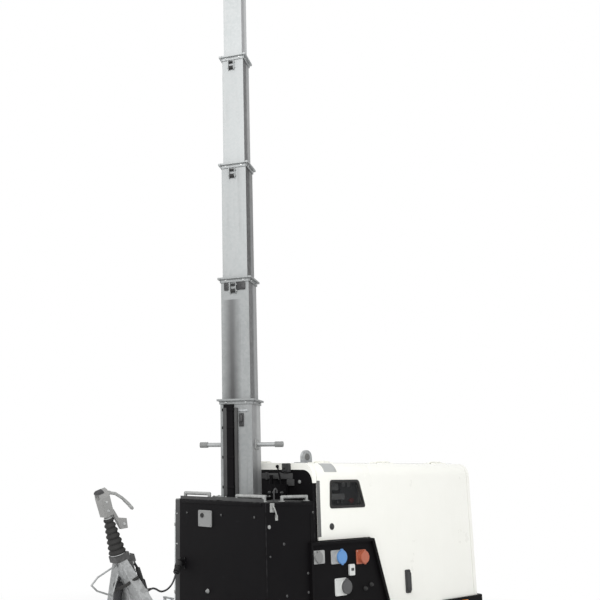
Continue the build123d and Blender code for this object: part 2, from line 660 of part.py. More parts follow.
def lifting_frame():
    """Post from the chassis through the roof, with the lifting eye across the trailer."""
    x = EYE_X
    eye_z, eye_r, bore_r, half_t = EYE_Z, 58.0, 30.0, 12.5
    post_top = CANOPY_TOP - DOOR_T
    post = block((x - 30, x + 30), (-30, 30), (RAIL_TOP + 8, post_top))
    post += block((x - 90, x + 90), (-90, 90), (post_top - 8, post_top))
    eye = rod((x, -half_t, eye_z), (x, half_t, eye_z), eye_r)
    eye += block((x - eye_r, x + eye_r), (-half_t, half_t), (CANOPY_TOP, eye_z))
    eye -= rod((x, -half_t - 1, eye_z), (x, half_t + 1, eye_z), bore_r)
    eye -= block((x - eye_r, x + eye_r), (-half_t - 1, half_t + 1), (CANOPY_TOP - 60, CANOPY_TOP))
    eye += block((x - 85, x + 85), (-60, 60), (CANOPY_TOP, CANOPY_TOP + 10))
    return post + eye


def rear_bumper():
    """Black bumper round the rear corners, with lamp recesses."""
    back = REAR_X - 70
    bumper = block((back, REAR_X), (-HALF_W - 22, HALF_W + 22), (RAIL_BOTTOM - 10, SILL_TOP + 18))
    bumper = fillet(bumper.edges().filter_by(Axis.Z).group_by(Axis.X)[0], 40)
    for side in (1, -1):
        low, high = sorted((side * HALF_W, side * (HALF_W + 22)))
        bumper += block((REAR_X - 5, REAR_X + 520), (low, high), (RAIL_TOP - 5, SILL_TOP + 18))
    return bumper


def rear_lamps():
    """Two rear lamp clusters on the bumper."""
    back = REAR_X - 70
    lamps = None
    for side in (1, -1):
        low, high = sorted((side * 260, side * 440))
        lamp = fillet(block((back - 26, back), (low, high), (480, 580)).edges().filter_by(Axis.X), 12)
        lamps = lamp if lamps is None else lamps + lamp
    return lamps


def grab_rails():
    """Galvanised grab rails on the housing's top, and the post down its right front corner."""
    corner, edge, ahead = HOUSING_HALF - 48, HOUSING_HALF - 35, FRONT_X - 34
    # one end, other end, height of the bar above the housing's top, radius
    table = [
        ((ahead, -corner), (ahead, -corner + 310), 46, 14),
        ((ahead, corner - 300), (ahead, corner), 38, 14),
        ((FRONT_X - 200, edge), (FRONT_X - 460, edge), 34, 12),
    ]
    rails = block((FRONT_X - 66, FRONT_X - 6), (-HOUSING_HALF - 46, -HOUSING_HALF),
                  (RAIL_TOP + 4, HOUSING_TOP))
    for (x0, y0), (x1, y1), lift, rail_r in table:
        z = HOUSING_TOP + lift
        rail = rod((x0, y0, z), (x1, y1, z), rail_r)
        for x, y in ((x0, y0), (x1, y1)):
            rail += rod((x, y, HOUSING_TOP), (x, y, z), rail_r)
            rail += Pos(x, y, z) * Sphere(rail_r)
        rails += rail
    return rails


def mast_valve():
    """Hydraulic valve block with its lever, on the housing's top behind the mast."""
    x = FRONT_X - 489
    valve = block((x - 15, x + 15), (40, 250), (HOUSING_TOP, HOUSING_TOP + 120))
    valve = fillet(valve.edges().filter_by(Axis.X), 10)
    valve += rod((x, 190, HOUSING_TOP + 100), (x + 6, 152, HOUSING_TOP + 258), 6)
    valve += Pos(x + 6, 152, HOUSING_TOP + 258) * Sphere(14)
    valve += rod((x, 70, HOUSING_TOP + 120), (x, 70, HOUSING_TOP + 190), 14)
    return valve


def front_plate():
    """Small grey cover plate on the housing's front face."""
    plate = block((FRONT_X, FRONT_X + 6), (-250, -90), (1296, 1418))
    plate = fillet(plate.edges().filter_by(Axis.X), 8)
    plate += rod((FRONT_X, -200, 1380), (FRONT_X + 16, -200, 1380), 16)
    return plate


# Drawbar

def raised(shape):
    """Puts a drawbar piece, drawn flat along +X from the hinge, at its folded place."""
    return Pos(HINGE_X, 0, HINGE_Z) * Rot(0, -DRAWBAR_RAISE, 0) * shape


def drawbar_frame():
    """V frame with a fork and pin at each rail, and the short tube at its apex."""
    frame = None
    start, near = 62.0, 40.0
    for side in (1, -1):
        for face in (1, -1):
            inner = RAIL_Y + face * (RAIL_W / 2 + 1)
            low, high = sorted((side * inner, side * (inner + face * FORK_PLATE)))
            plate = side_prism([(0, -28), (start + 70, -28), (start + 70, 28), (0, 28)], low, high)
            plate += rod((0, low, 0), (0, high, 0), 28)
            frame = plate if frame is None else frame + plate
        pin_end = RAIL_OUT + 1 + FORK_PLATE + 6
        pin = sorted((side * (RAIL_IN - 1 - FORK_PLATE - 6), side * pin_end))
        frame += rod((0, pin[0], 0), (0, pin[1], 0), PIN_R)
        knee = start + 40
        frame += block((start, knee + 30), tuple(sorted((side * (RAIL_IN - 1), side * (RAIL_OUT + 1)))),
                       (-LEG_H / 2, LEG_H / 2))
        outline = [(knee, side * (RAIL_Y + 30)), (knee, side * (RAIL_Y - 28)), (APEX_U - 30, side * 4),
                   (APEX_U + 60, side * 4), (APEX_U + 60, side * near)]
        frame += top_prism(outline, -LEG_H / 2, LEG_H / 2)
    frame += block((APEX_U - 40, APEX_U + 60), (-near, near), (-LEG_H / 2, LEG_H / 2))
    return raised(frame)


def overrun_housing():
    """Cast overrun housing with the brake lever's bracket and the bail under it."""
    u0, u1 = APEX_U - 15, APEX_U + 105
    side_gap = LEG_H / 2
    body = block((APEX_U - 60, APEX_U + 40), (-66, 66), (side_gap, side_gap + 26))
    body += block((u0, u1), (-46, 46), (side_gap, side_gap + 26))
    body += block((APEX_U + 60, u1), (-46, 46), (-52, side_gap + 26))
    for y in (22, -30):
        body += side_prism([(u0 + 10, side_gap + 26), (u1 - 10, side_gap + 26), (u1 - 40, side_gap + 74),
                            (u0 + 30, side_gap + 74)], y, y + 8)
    return raised(body)


def bellows():
    """Rubber bellows, each fold a little smaller than the one before."""
    u0 = APEX_U + 105
    wide, narrow, dip = 62.0, 38.0, 10.0
    points = [(u0, 0), (u0, wide - dip)]
    for k in range(FOLD_COUNT):
        crest = wide + (narrow - wide) * k / (FOLD_COUNT - 1)
        points += [(u0 + FOLD_PITCH * (k + 0.5), crest), (u0 + FOLD_PITCH * (k + 1), crest - dip)]
    points.append((u0 + FOLD_PITCH * FOLD_COUNT, 0))
    profile = make_face(Polyline(*points, close=True))
    return raised(revolve(profile, axis=Axis.X))


def coupling_head():
    """Draw shaft and pressed coupling head with its ball socket below, and the bracket behind it."""
    u0 = APEX_U + 105 + FOLD_COUNT * FOLD_PITCH
    head_start, head_end = u0 + 14, u0 + HEAD_L
    shape = rod((u0, 0, 0), (head_start + 30, 0, 0), 27)
    outline = [(head_start, -34), (head_start, 34), (head_end - 60, 40), (head_end - 16, 28), (head_end, 0),
               (head_end - 16, -28), (head_end - 60, -40)]
    head = top_prism(outline, -42, 34)
    head = head - Pos(head_end - 44, 0, -42) * Sphere(25)
    bracket = side_prism([(head_start + 26, 26), (head_start + 26, 52), (u0 - 29, 72), (u0 - 56, 134),
                          (u0 - 124, 124), (u0 - 112, 70), (u0 - 61, 56), (u0 - 1, 40)], -14, 14)
    return raised(shape + head + bracket)


def coupling_handle():
    """Bent coupling handle, lying back from the head's nose."""
    u, v = APEX_U + 105 + FOLD_COUNT * FOLD_PITCH + HEAD_L - HANDLE_BACK, 50
    path = [(u, 0, v + 2), (u - 25, 0, v + 54), (u - 75, 0, v + 100), (u - 129, 0, v + 136), (u - 171, 0, v + 158)]
    handle = None
    for start, end in zip(path, path[1:]):
        piece = rod(start, end, 11) + Pos(*end) * Sphere(11)
        handle = piece if handle is None else handle + piece
    handle += rod((u, -16, v), (u, 16, v), 15.5)
    return raised(handle)


def brake_lever():
    """Handbrake lever lying back over the drawbar."""
    pivot_u, pivot_v = APEX_U + 50, LEG_H / 2 + 58
    lever = rod((pivot_u, -21.7, pivot_v), (pivot_u, 21.7, pivot_v), 14)
    lever += rod((pivot_u, -4, pivot_v), (pivot_u - 110, -4, pivot_v + 34), 9)
    lever += rod((pivot_u - 100, -4, pivot_v + 32), (pivot_u - 200, -4, pivot_v + 38), 17)
    lever += rod((pivot_u - 196, -4, pivot_v + 38), (pivot_u - 330, -4, pivot_v + 40), 25)
    return raised(lever)


def bail():
    """Bent rod loop under the drawbar for the breakaway cable and chain."""
    path = [(APEX_U + 40, 0, -LEG_H / 2 - 3), (APEX_U + 22, 0, -200), (APEX_U - 8, 0, -262),
            (APEX_U - 60, 0, -232), (APEX_U - 140, 0, -130), (APEX_U - 20, 0, -LEG_H / 2 - 3)]
    loop = None
    for start, end in zip(path, path[1:]):
        piece = rod(start, end, 6)
        if end != path[-1]:
            piece += Pos(*end) * Sphere(6)
        loop = piece if loop is None else loop + piece
    for u in (APEX_U + 40, APEX_U - 20):
        loop += block((u - 14, u + 14), (-14, 14), (-LEG_H / 2 - 8, -LEG_H / 2))
    return raised(loop - block((0, APEX_U + 200), (-40, 40), (-LEG_H / 2, 0)))


# Jockey wheel on the front cross member

JOCKEY_X = HINGE_X - 210 + 30 + 32
JOCKEY_Y = 130.0
JOCKEY_R = 100.0
CASTER_TRAIL = 45.0


def jockey_tube():
    """Clamped outer tube with its crank on top."""
    x, y = JOCKEY_X, JOCKEY_Y
    tube = rod((x, y, RAIL_BOTTOM - 60), (x, y, 820), 30) - rod((x, y, RAIL_BOTTOM - 61), (x, y, 812), 25)
    tube += block((HINGE_X - 180, x - 26), (y - 36, y + 36), (RAIL_BOTTOM + 15, RAIL_TOP - 15))
    tube += rod((x, y, 818), (x, y, 846), 10)
    tube += block((x - 10, x + 10), (y - 95, y + 12), (838, 848))
    tube += rod((x, y - 85, 800), (x, y - 85, 846), 11)
    return tube


def jockey_leg():
    """Inner tube with the swivel seat at its foot."""
    x, y = JOCKEY_X, JOCKEY_Y
    low = WHEEL_LIFT + 2 * JOCKEY_R + 22
    leg = rod((x, y, low), (x, y, 620), 25 - SLIDE_PLAY)
    return leg + rod((x, y, low), (x, y, low + 14), 24)


def jockey_fork():
    """Caster fork that swivels under the inner tube."""
    x, y = JOCKEY_X, JOCKEY_Y
    crown = WHEEL_LIFT + 2 * JOCKEY_R + 10
    fork = block((x - CASTER_TRAIL - 30, x + 30), (y - 42, y + 42), (crown, crown + 11.7))
    for side in (1, -1):
        low, high = sorted((y + side * 38, y + side * 42))
        outline = [(x + 26, crown + 4), (x - CASTER_TRAIL - 26, crown + 4), (x - CASTER_TRAIL - 20, JOCKEY_R),
                   (x - CASTER_TRAIL + 20, JOCKEY_R - 16)]
        fork += side_prism(outline, low, high)
    axle_z = WHEEL_LIFT + JOCKEY_R
    fork += rod((x - CASTER_TRAIL, y - 48, axle_z), (x - CASTER_TRAIL, y + 48, axle_z), 8)
    return fork


def jockey_wheel():
    """Small solid tyre on its own hub."""
    half = 30.0
    outline = [(8 + RUN_PLAY, -36), (8 + RUN_PLAY, 36), (24, 36), (24, 14), (62, 14), (62, half),
               (JOCKEY_R - 10, half), (JOCKEY_R, half - 12), (JOCKEY_R, -half + 12), (JOCKEY_R - 10, -half),
               (62, -half), (62, -14), (24, -14), (24, -36)]
    wheel = revolve(make_face(Polyline(*outline, close=True)), axis=Axis.Y)
    return Pos(JOCKEY_X - CASTER_TRAIL, JOCKEY_Y, WHEEL_LIFT + JOCKEY_R) * wheel


# Trailer lead, from a gland on the drawbar's left leg to the plug parked on the housing's front

LEAD_R = 7.0
GLAND_U = 430.0
GLAND_Y = 0.42 * RAIL_Y
GLAND_V = 48.5
PLUG_AHEAD = 112.0
PLUG_IN = 90.0
PLUG_Z = 926.0
GLAND_X = HINGE_X + GLAND_U * cos(radians(DRAWBAR_RAISE)) - GLAND_V * sin(radians(DRAWBAR_RAISE))
GLAND_Z = HINGE_Z + GLAND_U * sin(radians(DRAWBAR_RAISE)) + GLAND_V * cos(radians(DRAWBAR_RAISE))
# share of the way from the gland to the plug along x, the same along y, and height
LEAD_TABLE = [
    (0.0, 0.0, GLAND_Z), (0.0824, 0.0311, 932.0), (0.1733, 0.1038, 916.0), (0.2759, 0.2145, 890.0),
    (0.3873, 0.3426, 870.0), (0.5076, 0.4775, 858.0), (0.6337, 0.6159, 852.0), (0.7569, 0.7543, 854.0),
    (0.8654, 0.8720, 864.0), (0.9443, 0.9516, 888.0), (1.0, 1.0, PLUG_Z),
]


def lead_route():
    """Corner points of the lead's path, from the gland to the plug."""
    end_x, end_y = FRONT_X + PLUG_AHEAD, -HALF_W + PLUG_IN
    return [Vector(GLAND_X + share_x * (end_x - GLAND_X), GLAND_Y + share_y * (end_y - GLAND_Y), z)
            for share_x, share_y, z in LEAD_TABLE]


def gland():
    """Cable gland on the drawbar's left leg, pointing along the lead's first run."""
    first, second = lead_route()[:2]
    along = (second - first).normalized()
    return rod(first - along * 24, first, 12) + rod(first - along * 24, first - along * 8, 16)


def parked_plug():
    """Plug on the end of the lead, in its holder on the housing's front face."""
    before, end = lead_route()[-2:]
    along = (end - before).normalized()
    plug = rod(end, end + along * 16, 14) + rod(end + along * 16, end + along * 66, 24)
    plug += rod(end + along * 66, end + along * 120, 27)
    seat = end + along * 120
    plug += block((FRONT_X + 6, seat.X), (seat.Y - 22, seat.Y + 24), (seat.Z - 24, seat.Z + 22))
    return plug + block((FRONT_X, FRONT_X + 6), (seat.Y - 32, seat.Y + 40), (seat.Z - 50, seat.Z + 44))


def lead():
    """Flexible lead from the drawbar to its plug."""
    points = lead_route()
    radii = []
    for a, b, c in zip(points, points[1:], points[2:]):
        turn = radians((b - a).get_angle(c - b))
        run = min((b - a).length, (c - b).length)
        radii.append(0.45 * run / (sin(turn / 2) / cos(turn / 2)))
    print("lead radii", [round(r) for r in radii])
    path = FilletPolyline(*points, radius=radii)
    section = Plane(origin=points[0], z_dir=points[1] - points[0]) * Circle(LEAD_R)
    tube = sweep(section, path=path)
    ratio = tube.volume / (path.length * section.area)
    print("lead length", round(path.length), "volume ratio", round(ratio, 4))
    return tube


def main():
    """Builds every sub-part and writes it."""
    save("chassis_frame", chassis_frame())
    save("axle", axle())
    save("mudguards", mudguards())
    for side, name in ((1, "left"), (-1, "right")):
        place = Pos(AXLE_X, side * WHEEL_Y, AXLE_Z)
        tyre, rim = tyre_ring(), rim_wheel()
        save(f"tyre_{name}", place * tyre)
        save(f"rim_{name}", place * (rim if side == 1 else mirrored(rim)))
    for corner in OUT_BACK:
        arm, leg = outrigger(corner)
        save(f"outrigger_arm_{corner}", arm)
        save(f"outrigger_leg_{corner}", leg)
    save("mast_base", mast_base())
    for index in range(MAST_COUNT):
        section = mast_section(index)
        save(f"mast_section_{index + 1}", section + turning_bars() if index == 0 else section)
    save("cable_duct", cable_duct())
    save("lamp_head", lamp_head())
    for number, y in enumerate(lamp_places(), start=1):
        save(f"floodlight_{number}", floodlight(y))
    save("mast_housing", mast_housing())
    save("base_tray", base_tray())
    save("front_wall", front_wall())
    save("canopy_shell", canopy_shell())
    save("door_left", door_left())
    save("door_right", door_right())
    save("window_pane", window_pane())
    save("rear_grille", rear_grille())
    save("socket_panel", socket_panel())
    save("sockets", sockets())
    save("control_panel", control_panel())
    save("engine_block", engine_block())
    save("lifting_frame", lifting_frame())
    save("rear_bumper", rear_bumper())
    save("rear_lamps", rear_lamps())
    save("grab_rails", grab_rails())
    save("housing_fittings", mast_valve() + front_plate() + parked_plug())
    save("drawbar_frame", drawbar_frame() + bail() + gland())
    save("overrun_housing", overrun_housing())
    save("bellows", bellows())
    save("coupling_head", coupling_head())
    save("coupling_handle", coupling_handle())
    save("brake_lever", brake_lever())
    save("jockey_tube", jockey_tube())
    save("jockey_leg", jockey_leg())
    save("jockey_fork", jockey_fork())
    save("jockey_wheel", jockey_wheel())
    save("lead", lead())


main()
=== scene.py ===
"""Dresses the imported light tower: finishes, small fittings, rubber and glass, the floor, the lights and the camera.

All lengths are in metres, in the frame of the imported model: +X forwards to the towing end, +Y to the trailer's
left and +Z up. Every new piece is a surface worked out as whole arrays, put in its place before it becomes a mesh.
"""

from __future__ import annotations

import json
import logging
import math
from dataclasses import dataclass, field
from enum import Enum
from typing import Callable, Iterable, Sequence

import bpy
import numpy as np
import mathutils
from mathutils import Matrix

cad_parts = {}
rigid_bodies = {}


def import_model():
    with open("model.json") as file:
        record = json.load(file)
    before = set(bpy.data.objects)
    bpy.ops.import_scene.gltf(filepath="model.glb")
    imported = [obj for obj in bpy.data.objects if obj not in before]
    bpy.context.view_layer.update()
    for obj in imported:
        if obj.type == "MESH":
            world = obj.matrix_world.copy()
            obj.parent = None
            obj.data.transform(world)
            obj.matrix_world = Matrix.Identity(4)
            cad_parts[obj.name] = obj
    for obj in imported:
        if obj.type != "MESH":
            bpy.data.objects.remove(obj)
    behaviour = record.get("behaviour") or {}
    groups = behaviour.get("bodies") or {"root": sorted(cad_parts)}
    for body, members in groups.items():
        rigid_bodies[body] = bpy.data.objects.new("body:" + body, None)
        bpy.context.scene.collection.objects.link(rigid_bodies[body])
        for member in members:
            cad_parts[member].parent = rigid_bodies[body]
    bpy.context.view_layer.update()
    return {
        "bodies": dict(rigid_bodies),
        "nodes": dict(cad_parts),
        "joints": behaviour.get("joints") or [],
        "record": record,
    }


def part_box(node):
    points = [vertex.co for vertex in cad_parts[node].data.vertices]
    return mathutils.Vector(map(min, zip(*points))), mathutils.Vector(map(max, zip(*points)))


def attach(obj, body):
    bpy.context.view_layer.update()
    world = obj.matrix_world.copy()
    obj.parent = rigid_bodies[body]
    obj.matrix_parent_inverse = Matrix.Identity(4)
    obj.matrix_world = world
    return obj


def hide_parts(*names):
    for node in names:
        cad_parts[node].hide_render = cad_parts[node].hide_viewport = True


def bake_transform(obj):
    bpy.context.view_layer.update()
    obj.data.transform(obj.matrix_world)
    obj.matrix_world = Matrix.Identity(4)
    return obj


LOG = logging.getLogger("light_tower")
Array = np.ndarray
Vector = tuple[float, float, float]
Colour = Vector
Profile = Iterable[tuple[float, float]]
Socket = bpy.types.NodeSocket
TAU = 2.0 * math.pi

MAST_TURN = math.radians(32.5)
DRAWBAR_RAISE = math.radians(71.0)
LAMP_TILT = math.radians(20.0)
HINGE_AHEAD = 0.7  # the drawbar's hinge, ahead of the housing's front face
HINGE_HEIGHT = 0.5


# Places


@dataclass(frozen=True)
class Place:
    """A local frame: where its origin lies, and its three axes as the rows of a matrix."""

    origin: Vector
    axes: tuple[Vector, ...] = ((1, 0, 0), (0, 1, 0), (0, 0, 1))

    def put(self, points: Array) -> Array:
        """Carries local points to the model's frame.

        Args:
            points: An array whose last axis holds x, y and z.

        Returns:
            The same array in the model's frame.
        """
        return points @ np.array(self.axes, float) + np.array(self.origin, float)

    def at(self, x: float, y: float, z: float) -> "Place":
        """The same axes with the origin moved to a local point."""
        return Place(tuple(self.put(np.array([x, y, z], float))), self.axes)

    def facing(self, direction: str) -> "Place":
        """The same origin with local +Z turned to one of the frame's own directions, such as "+y".

        Args:
            direction: Where the new +Z points.

        Returns:
            The new place, at the same origin.
        """
        x, y, z = (np.array(a, float) for a in self.axes)
        turned = {"+x": (y, z, x), "-x": (-y, z, -x), "+y": (-x, z, y), "-y": (x, z, -y), "+z": (x, y, z),
                  "-z": (-x, y, -z)}[direction]
        return Place(self.origin, tuple(tuple(float(v) for v in a) for a in turned))

    def pitched(self, angle: float) -> "Place":
        """The same origin, turned about its own +Y so that +X drops by an angle in radians.

        Args:
            angle: The pitch in radians.

        Returns:
            The new place, at the same origin.
        """
        x, y, z = (np.array(a, float) for a in self.axes)
        c, s = math.cos(angle), math.sin(angle)
        return Place(self.origin, (tuple(c * x - s * z), tuple(y), tuple(s * x + c * z)))


def turned_about_z(origin: Vector, angle: float) -> Place:
    """A frame turned to the left about the vertical by an angle in radians."""
    c, s = math.cos(angle), math.sin(angle)
    return Place(origin, ((c, s, 0), (-s, c, 0), (0, 0, 1)))


def raised_about_y(origin: Vector, angle: float) -> Place:
    """A frame whose +X is raised from the horizontal by an angle in radians."""
    c, s = math.cos(angle), math.sin(angle)
    return Place(origin, ((c, 0, s), (0, 1, 0), (-s, 0, c)))


# Outlines, profiles and the surfaces carried along them


def circle(radius: float, count: int = 32) -> Array:
    """Points of a circle, anticlockwise: radius times the cosine and sine of evenly spaced angles."""
    a = np.arange(count) * TAU / count
    return np.stack([radius * np.cos(a), radius * np.sin(a)], -1)


def rounded_rect(width: float, height: float, radius: float, steps: int = 4) -> Array:
    """Points of a rectangle with round corners, anticlockwise.

    Each corner is a quarter circle about a centre that lies one radius in from both sides.

    Args:
        width: Size along x.
        height: Size along y.
        radius: Radius of the corners.
        steps: Spans in each corner.

    Returns:
        An array of (x, y) points.
    """
    radius = min(radius, width / 2 - 1e-6, height / 2 - 1e-6)
    turn = np.linspace(0, TAU / 4, steps + 1)
    corner = np.arange(4)
    angle = (corner[:, None] * TAU / 4 + turn[None, :]).ravel()
    sx = np.repeat([1, -1, -1, 1], steps + 1)
    sy = np.repeat([1, 1, -1, -1], steps + 1)
    x = sx * (width / 2 - radius) + radius * np.cos(angle)
    y = sy * (height / 2 - radius) + radius * np.sin(angle)
    return np.stack([x, y], -1)


def polygon(sides: int, across_flats: float) -> Array:
    """Corners of a regular polygon, such as a nut's six, from its size across the flats."""
    return circle(across_flats / 2 / math.cos(math.pi / sides), sides)


def lift(outline: Array, height: float) -> Array:
    """An outline of (x, y) points given one height."""
    return np.concatenate([outline, np.full((len(outline), 1), height)], -1)


def pad(width: float, height: float, depth: float, radius: float, bevel: float, steps: int = 4) -> Array:
    """A rounded plate from z = 0 to its depth, whose front edge is bevelled.

    Rows are outlines: the full one at the back and below the bevel, and one drawn in by the bevel at the front.

    Args:
        width: Its size along x.
        height: Its size along y.
        depth: How far its front stands out.
        radius: Of the corners.
        bevel: Of the front edge.
        steps: Points to a corner.

    Returns:
        The grid of points, one outline to a row.
    """
    b = min(bevel, depth * 0.9)
    rows = [(0.0, 0.0), (0.0, depth - b), (b * 0.3, depth - b * 0.3), (b, depth)]
    return np.stack([lift(rounded_rect(width - 2 * inset, height - 2 * inset, max(radius - inset, 1e-4), steps), z)
                     for inset, z in rows])


def revolved(profile: Profile, count: int = 32) -> Array:
    """A profile of (radius, height) points turned about z: each row is a circle of that radius at that height.

    Args:
        profile: Pairs of radius and height.
        count: Points round the axis.

    Returns:
        The grid of points, one circle to a row.
    """
    p = np.array(list(profile), float)
    a = np.arange(count) * TAU / count
    x = p[:, 0, None] * np.cos(a)
    y = p[:, 0, None] * np.sin(a)
    z = np.repeat(p[:, 1, None], count, 1)
    return np.stack([x, y, z], -1)


def mirrored(half: Sequence[tuple[float, float]]) -> list[tuple[float, float]]:
    """A profile from the half below its middle: the points given, and their mirror images above it."""
    return [*half, *((radius, -z) for radius, z in reversed(half))]


def crossed(x: float, y: float) -> tuple[tuple[float, float], ...]:
    """The four corners of a rectangle from its half sizes."""
    return (-x, -y), (-x, y), (x, -y), (x, y)


def tube(path: Array, radius: float | Array, count: int = 12) -> Array:
    """A round tube along a path.

    At each path point the ring lies across the mean of the runs before and after it. Its two directions come from
    a fixed helper direction, the axis that the path as a whole runs least along.

    Args:
        path: Points of the path, in order.
        radius: One radius, or one for each point.
        count: Points around the tube.

    Returns:
        A grid of rings, one for each path point.
    """
    path = np.asarray(path, float)
    runs = np.diff(path, axis=0)
    runs /= np.linalg.norm(runs, axis=1, keepdims=True)
    along = np.concatenate([runs[:1], runs[:-1] + runs[1:], runs[-1:]])
    along /= np.linalg.norm(along, axis=1, keepdims=True)
    helper = np.eye(3)[np.argmin(np.abs(along).sum(0))]
    side = np.cross(along, helper)
    side /= np.linalg.norm(side, axis=1, keepdims=True)
    up = np.cross(along, side)
    ring = circle(1.0, count)
    r = np.broadcast_to(np.asarray(radius, float), (len(path),))[:, None, None]
    across = ring[None, :, 0, None] * side[:, None, :] + ring[None, :, 1, None] * up[:, None, :]
    return path[:, None, :] + r * across


def arc_path(points: Sequence[Vector], samples: int = 8) -> Array:
    """A smooth path through given points, as a Catmull-Rom curve.

    Between two points the place is the cubic whose slopes are half the difference of the neighbours on each side.

    Args:
        points: The points that the arc passes.
        samples: Points to each stretch between two of them.

    Returns:
        The points, one to a row.
    """
    p = np.array(points, float)
    p = np.concatenate([2 * p[:1] - p[1:2], p, 2 * p[-1:] - p[-2:-1]])
    t = (np.arange(samples) / samples)[None, :, None]
    a, b, c, d = (p[k:len(p) - 3 + k][:, None, :] for k in range(4))
    curve = 0.5 * (2 * b + (c - a) * t + (2 * a - 5 * b + 4 * c - d) * t**2 + (3 * b - a - 3 * c + d) * t**3)
    return np.concatenate([curve.reshape(-1, 3), p[-2:-1]])


class Surface:
    """Gathers grids as arrays and turns them into one mesh object."""

    def __init__(self) -> None:
        """Starts with nothing."""
        self._points: list[Array] = []
        self._faces: list[tuple[int, ...]] = []
        self._count = 0

    def grid(self, points: Array, place: Place | None = None, around: bool = True, caps: bool = True,
             loop: bool = False) -> "Surface":
        """Adds a grid of points as quads.

        Faces look outwards where the columns run anticlockwise about the direction in which the rows follow.

        Args:
            points: Rows by columns by three.
            place: The local frame of the points.
            around: Whether the last column joins the first.
            caps: Whether the first and last rows are closed with one face each.
            loop: Whether the last row joins the first, as on a ring.

        Returns:
            This surface.
        """
        p = place.put(points) if place else points
        rows, columns, _ = p.shape
        index = self._count + np.arange(rows * columns).reshape(rows, columns)
        if loop:
            index = np.concatenate([index, index[:1]])
        here = index if around else index[:, :-1]
        after = np.roll(index, -1, 1) if around else index[:, 1:]
        quads = np.stack([here[:-1], after[:-1], after[1:], here[1:]], -1).reshape(-1, 4)
        self._faces += [tuple(q) for q in quads.tolist()]
        if caps and around and not loop:
            self._faces += [tuple(index[0][::-1].tolist()), tuple(index[-1].tolist())]
        self._points.append(p.reshape(-1, 3))
        self._count += rows * columns
        return self

    def prism(self, outline: Array, low: float, high: float, place: Place) -> "Surface":
        """Adds an outline of (x, y) points, anticlockwise, from one height to another."""
        return self.grid(np.stack([lift(outline, low), lift(outline, high)]), place)

    def pad(self, place: Place, *sizes: float) -> "Surface":
        """Adds a rounded plate whose sizes are those of pad()."""
        return self.grid(pad(*sizes), place)

    def steps(self, place: Place, width: float, height: float, radius: float,
              rows: Profile) -> "Surface":
        """Adds rounded rectangles joined row by row, each drawn in by an inset and put at a height."""
        return self.grid(np.stack([lift(rounded_rect(width - 2 * i, height - 2 * i, radius), z) for i, z in rows]),
                         place)

    def hexagon(self, place: Place, across: float, rows: Profile) -> "Surface":
        """Adds hexagons joined row by row, each a scale of the size across the flats and a height."""
        return self.grid(np.stack([lift(polygon(6, across) * scale, z) for scale, z in rows]), place)

    def turn(self, place: Place, profile: Profile, count: int = 32) -> "Surface":
        """Adds a profile turned about the place's +Z, with both ends closed."""
        return self.grid(revolved(profile, count), place)

    def hoop(self, place: Place, section: Profile, count: int) -> "Surface":
        """Adds a closed section turned about the place's +Z."""
        return self.grid(revolved(section, count), place, caps=False, loop=True)

    def sweep(self, path: Array, radius: float | Array, count: int = 12, place: Place | None = None) -> "Surface":
        """Adds a round tube along a path."""
        return self.grid(tube(path, radius, count), place)

    def bolt(self, place: Place, across: float, height: float) -> "Surface":
        """Adds a hexagon head on a washer.

        Args:
            place: Where it sits, +Z out of the surface under it.
            across: Size across the flats.
            height: Height of the head.

        Returns:
            This surface.
        """
        washer = 0.16 * height
        self.turn(place, ((across * 0.62, -0.0004), (across * 0.62, washer * 0.7), (across * 0.58, washer)), 20)
        return self.hexagon(place, across, ((1.0, washer), (1.0, height * 0.8), (0.9, height)))

    def bolts(self, places: Iterable[Place], across: float, height: float) -> "Surface":
        """Adds the same bolt at every place.

        Args:
            places: Where each one stands.
            across: How wide a head is.
            height: How far a head stands out.

        Returns:
            The surface itself, so calls can follow each other.
        """
        for place in places:
            self.bolt(place, across, height)
        return self

    def screw(self, place: Place, radius: float) -> "Surface":
        """Adds a dome-headed screw with a sunk hexagon socket.

        Args:
            place: Where it sits, +Z out of the surface under it.
            radius: Radius of the head.

        Returns:
            This surface.
        """
        profile = ((1.0, -0.05), (1.0, 0.12), (0.93, 0.3), (0.75, 0.46), (0.46, 0.56), (0.44, 0.56),
                   (0.4, 0.26), (0.02, 0.24))
        return self.turn(place, [(r * radius, z * radius) for r, z in profile], 18)

    def screws(self, places: Iterable[Place], radius: float) -> "Surface":
        """Adds the same screw at every place.

        Args:
            places: Where each one stands.
            radius: Of a screw's head.

        Returns:
            The surface itself, so calls can follow each other.
        """
        for place in places:
            self.screw(place, radius)
        return self

    def moved(self, place: Place) -> "Surface":
        """Carries all the points gathered so far to a place."""
        self._points = [place.put(p) for p in self._points]
        return self

    def build(self, name: str, body: str, material: bpy.types.Material, slot: str | None = None,
              replaces: Sequence[str] = (), smooth: float = 35.0) -> bpy.types.Object:
        """Makes the mesh object and lets it ride on its body.

        Args:
            name: The piece's name.
            body: The body that it moves with, or nothing, where it is left unattached.
            material: Its finish.
            slot: The record's material slot it stands for. Not used.
            replaces: Nodes that it stands for.
            smooth: Edges that turn by less than this many degrees are shaded smooth.

        Returns:
            The new object.
        """
        mesh = bpy.data.meshes.new(name)
        mesh.from_pydata(np.concatenate(self._points).tolist(), [], self._faces)
        mesh.validate()
        mesh.polygons.foreach_set("use_smooth", np.ones(len(mesh.polygons), bool))
        mesh.update()
        mesh.set_sharp_from_angle(angle=math.radians(smooth))
        mesh.materials.append(material)
        piece = bpy.data.objects.new(name, mesh)
        bpy.context.scene.collection.objects.link(piece)
        if body:
            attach(piece, body)
        if replaces:
            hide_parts(*replaces)
        LOG.info("%s: %d faces on %s", name, len(mesh.polygons), body)
        return piece


# Finishes


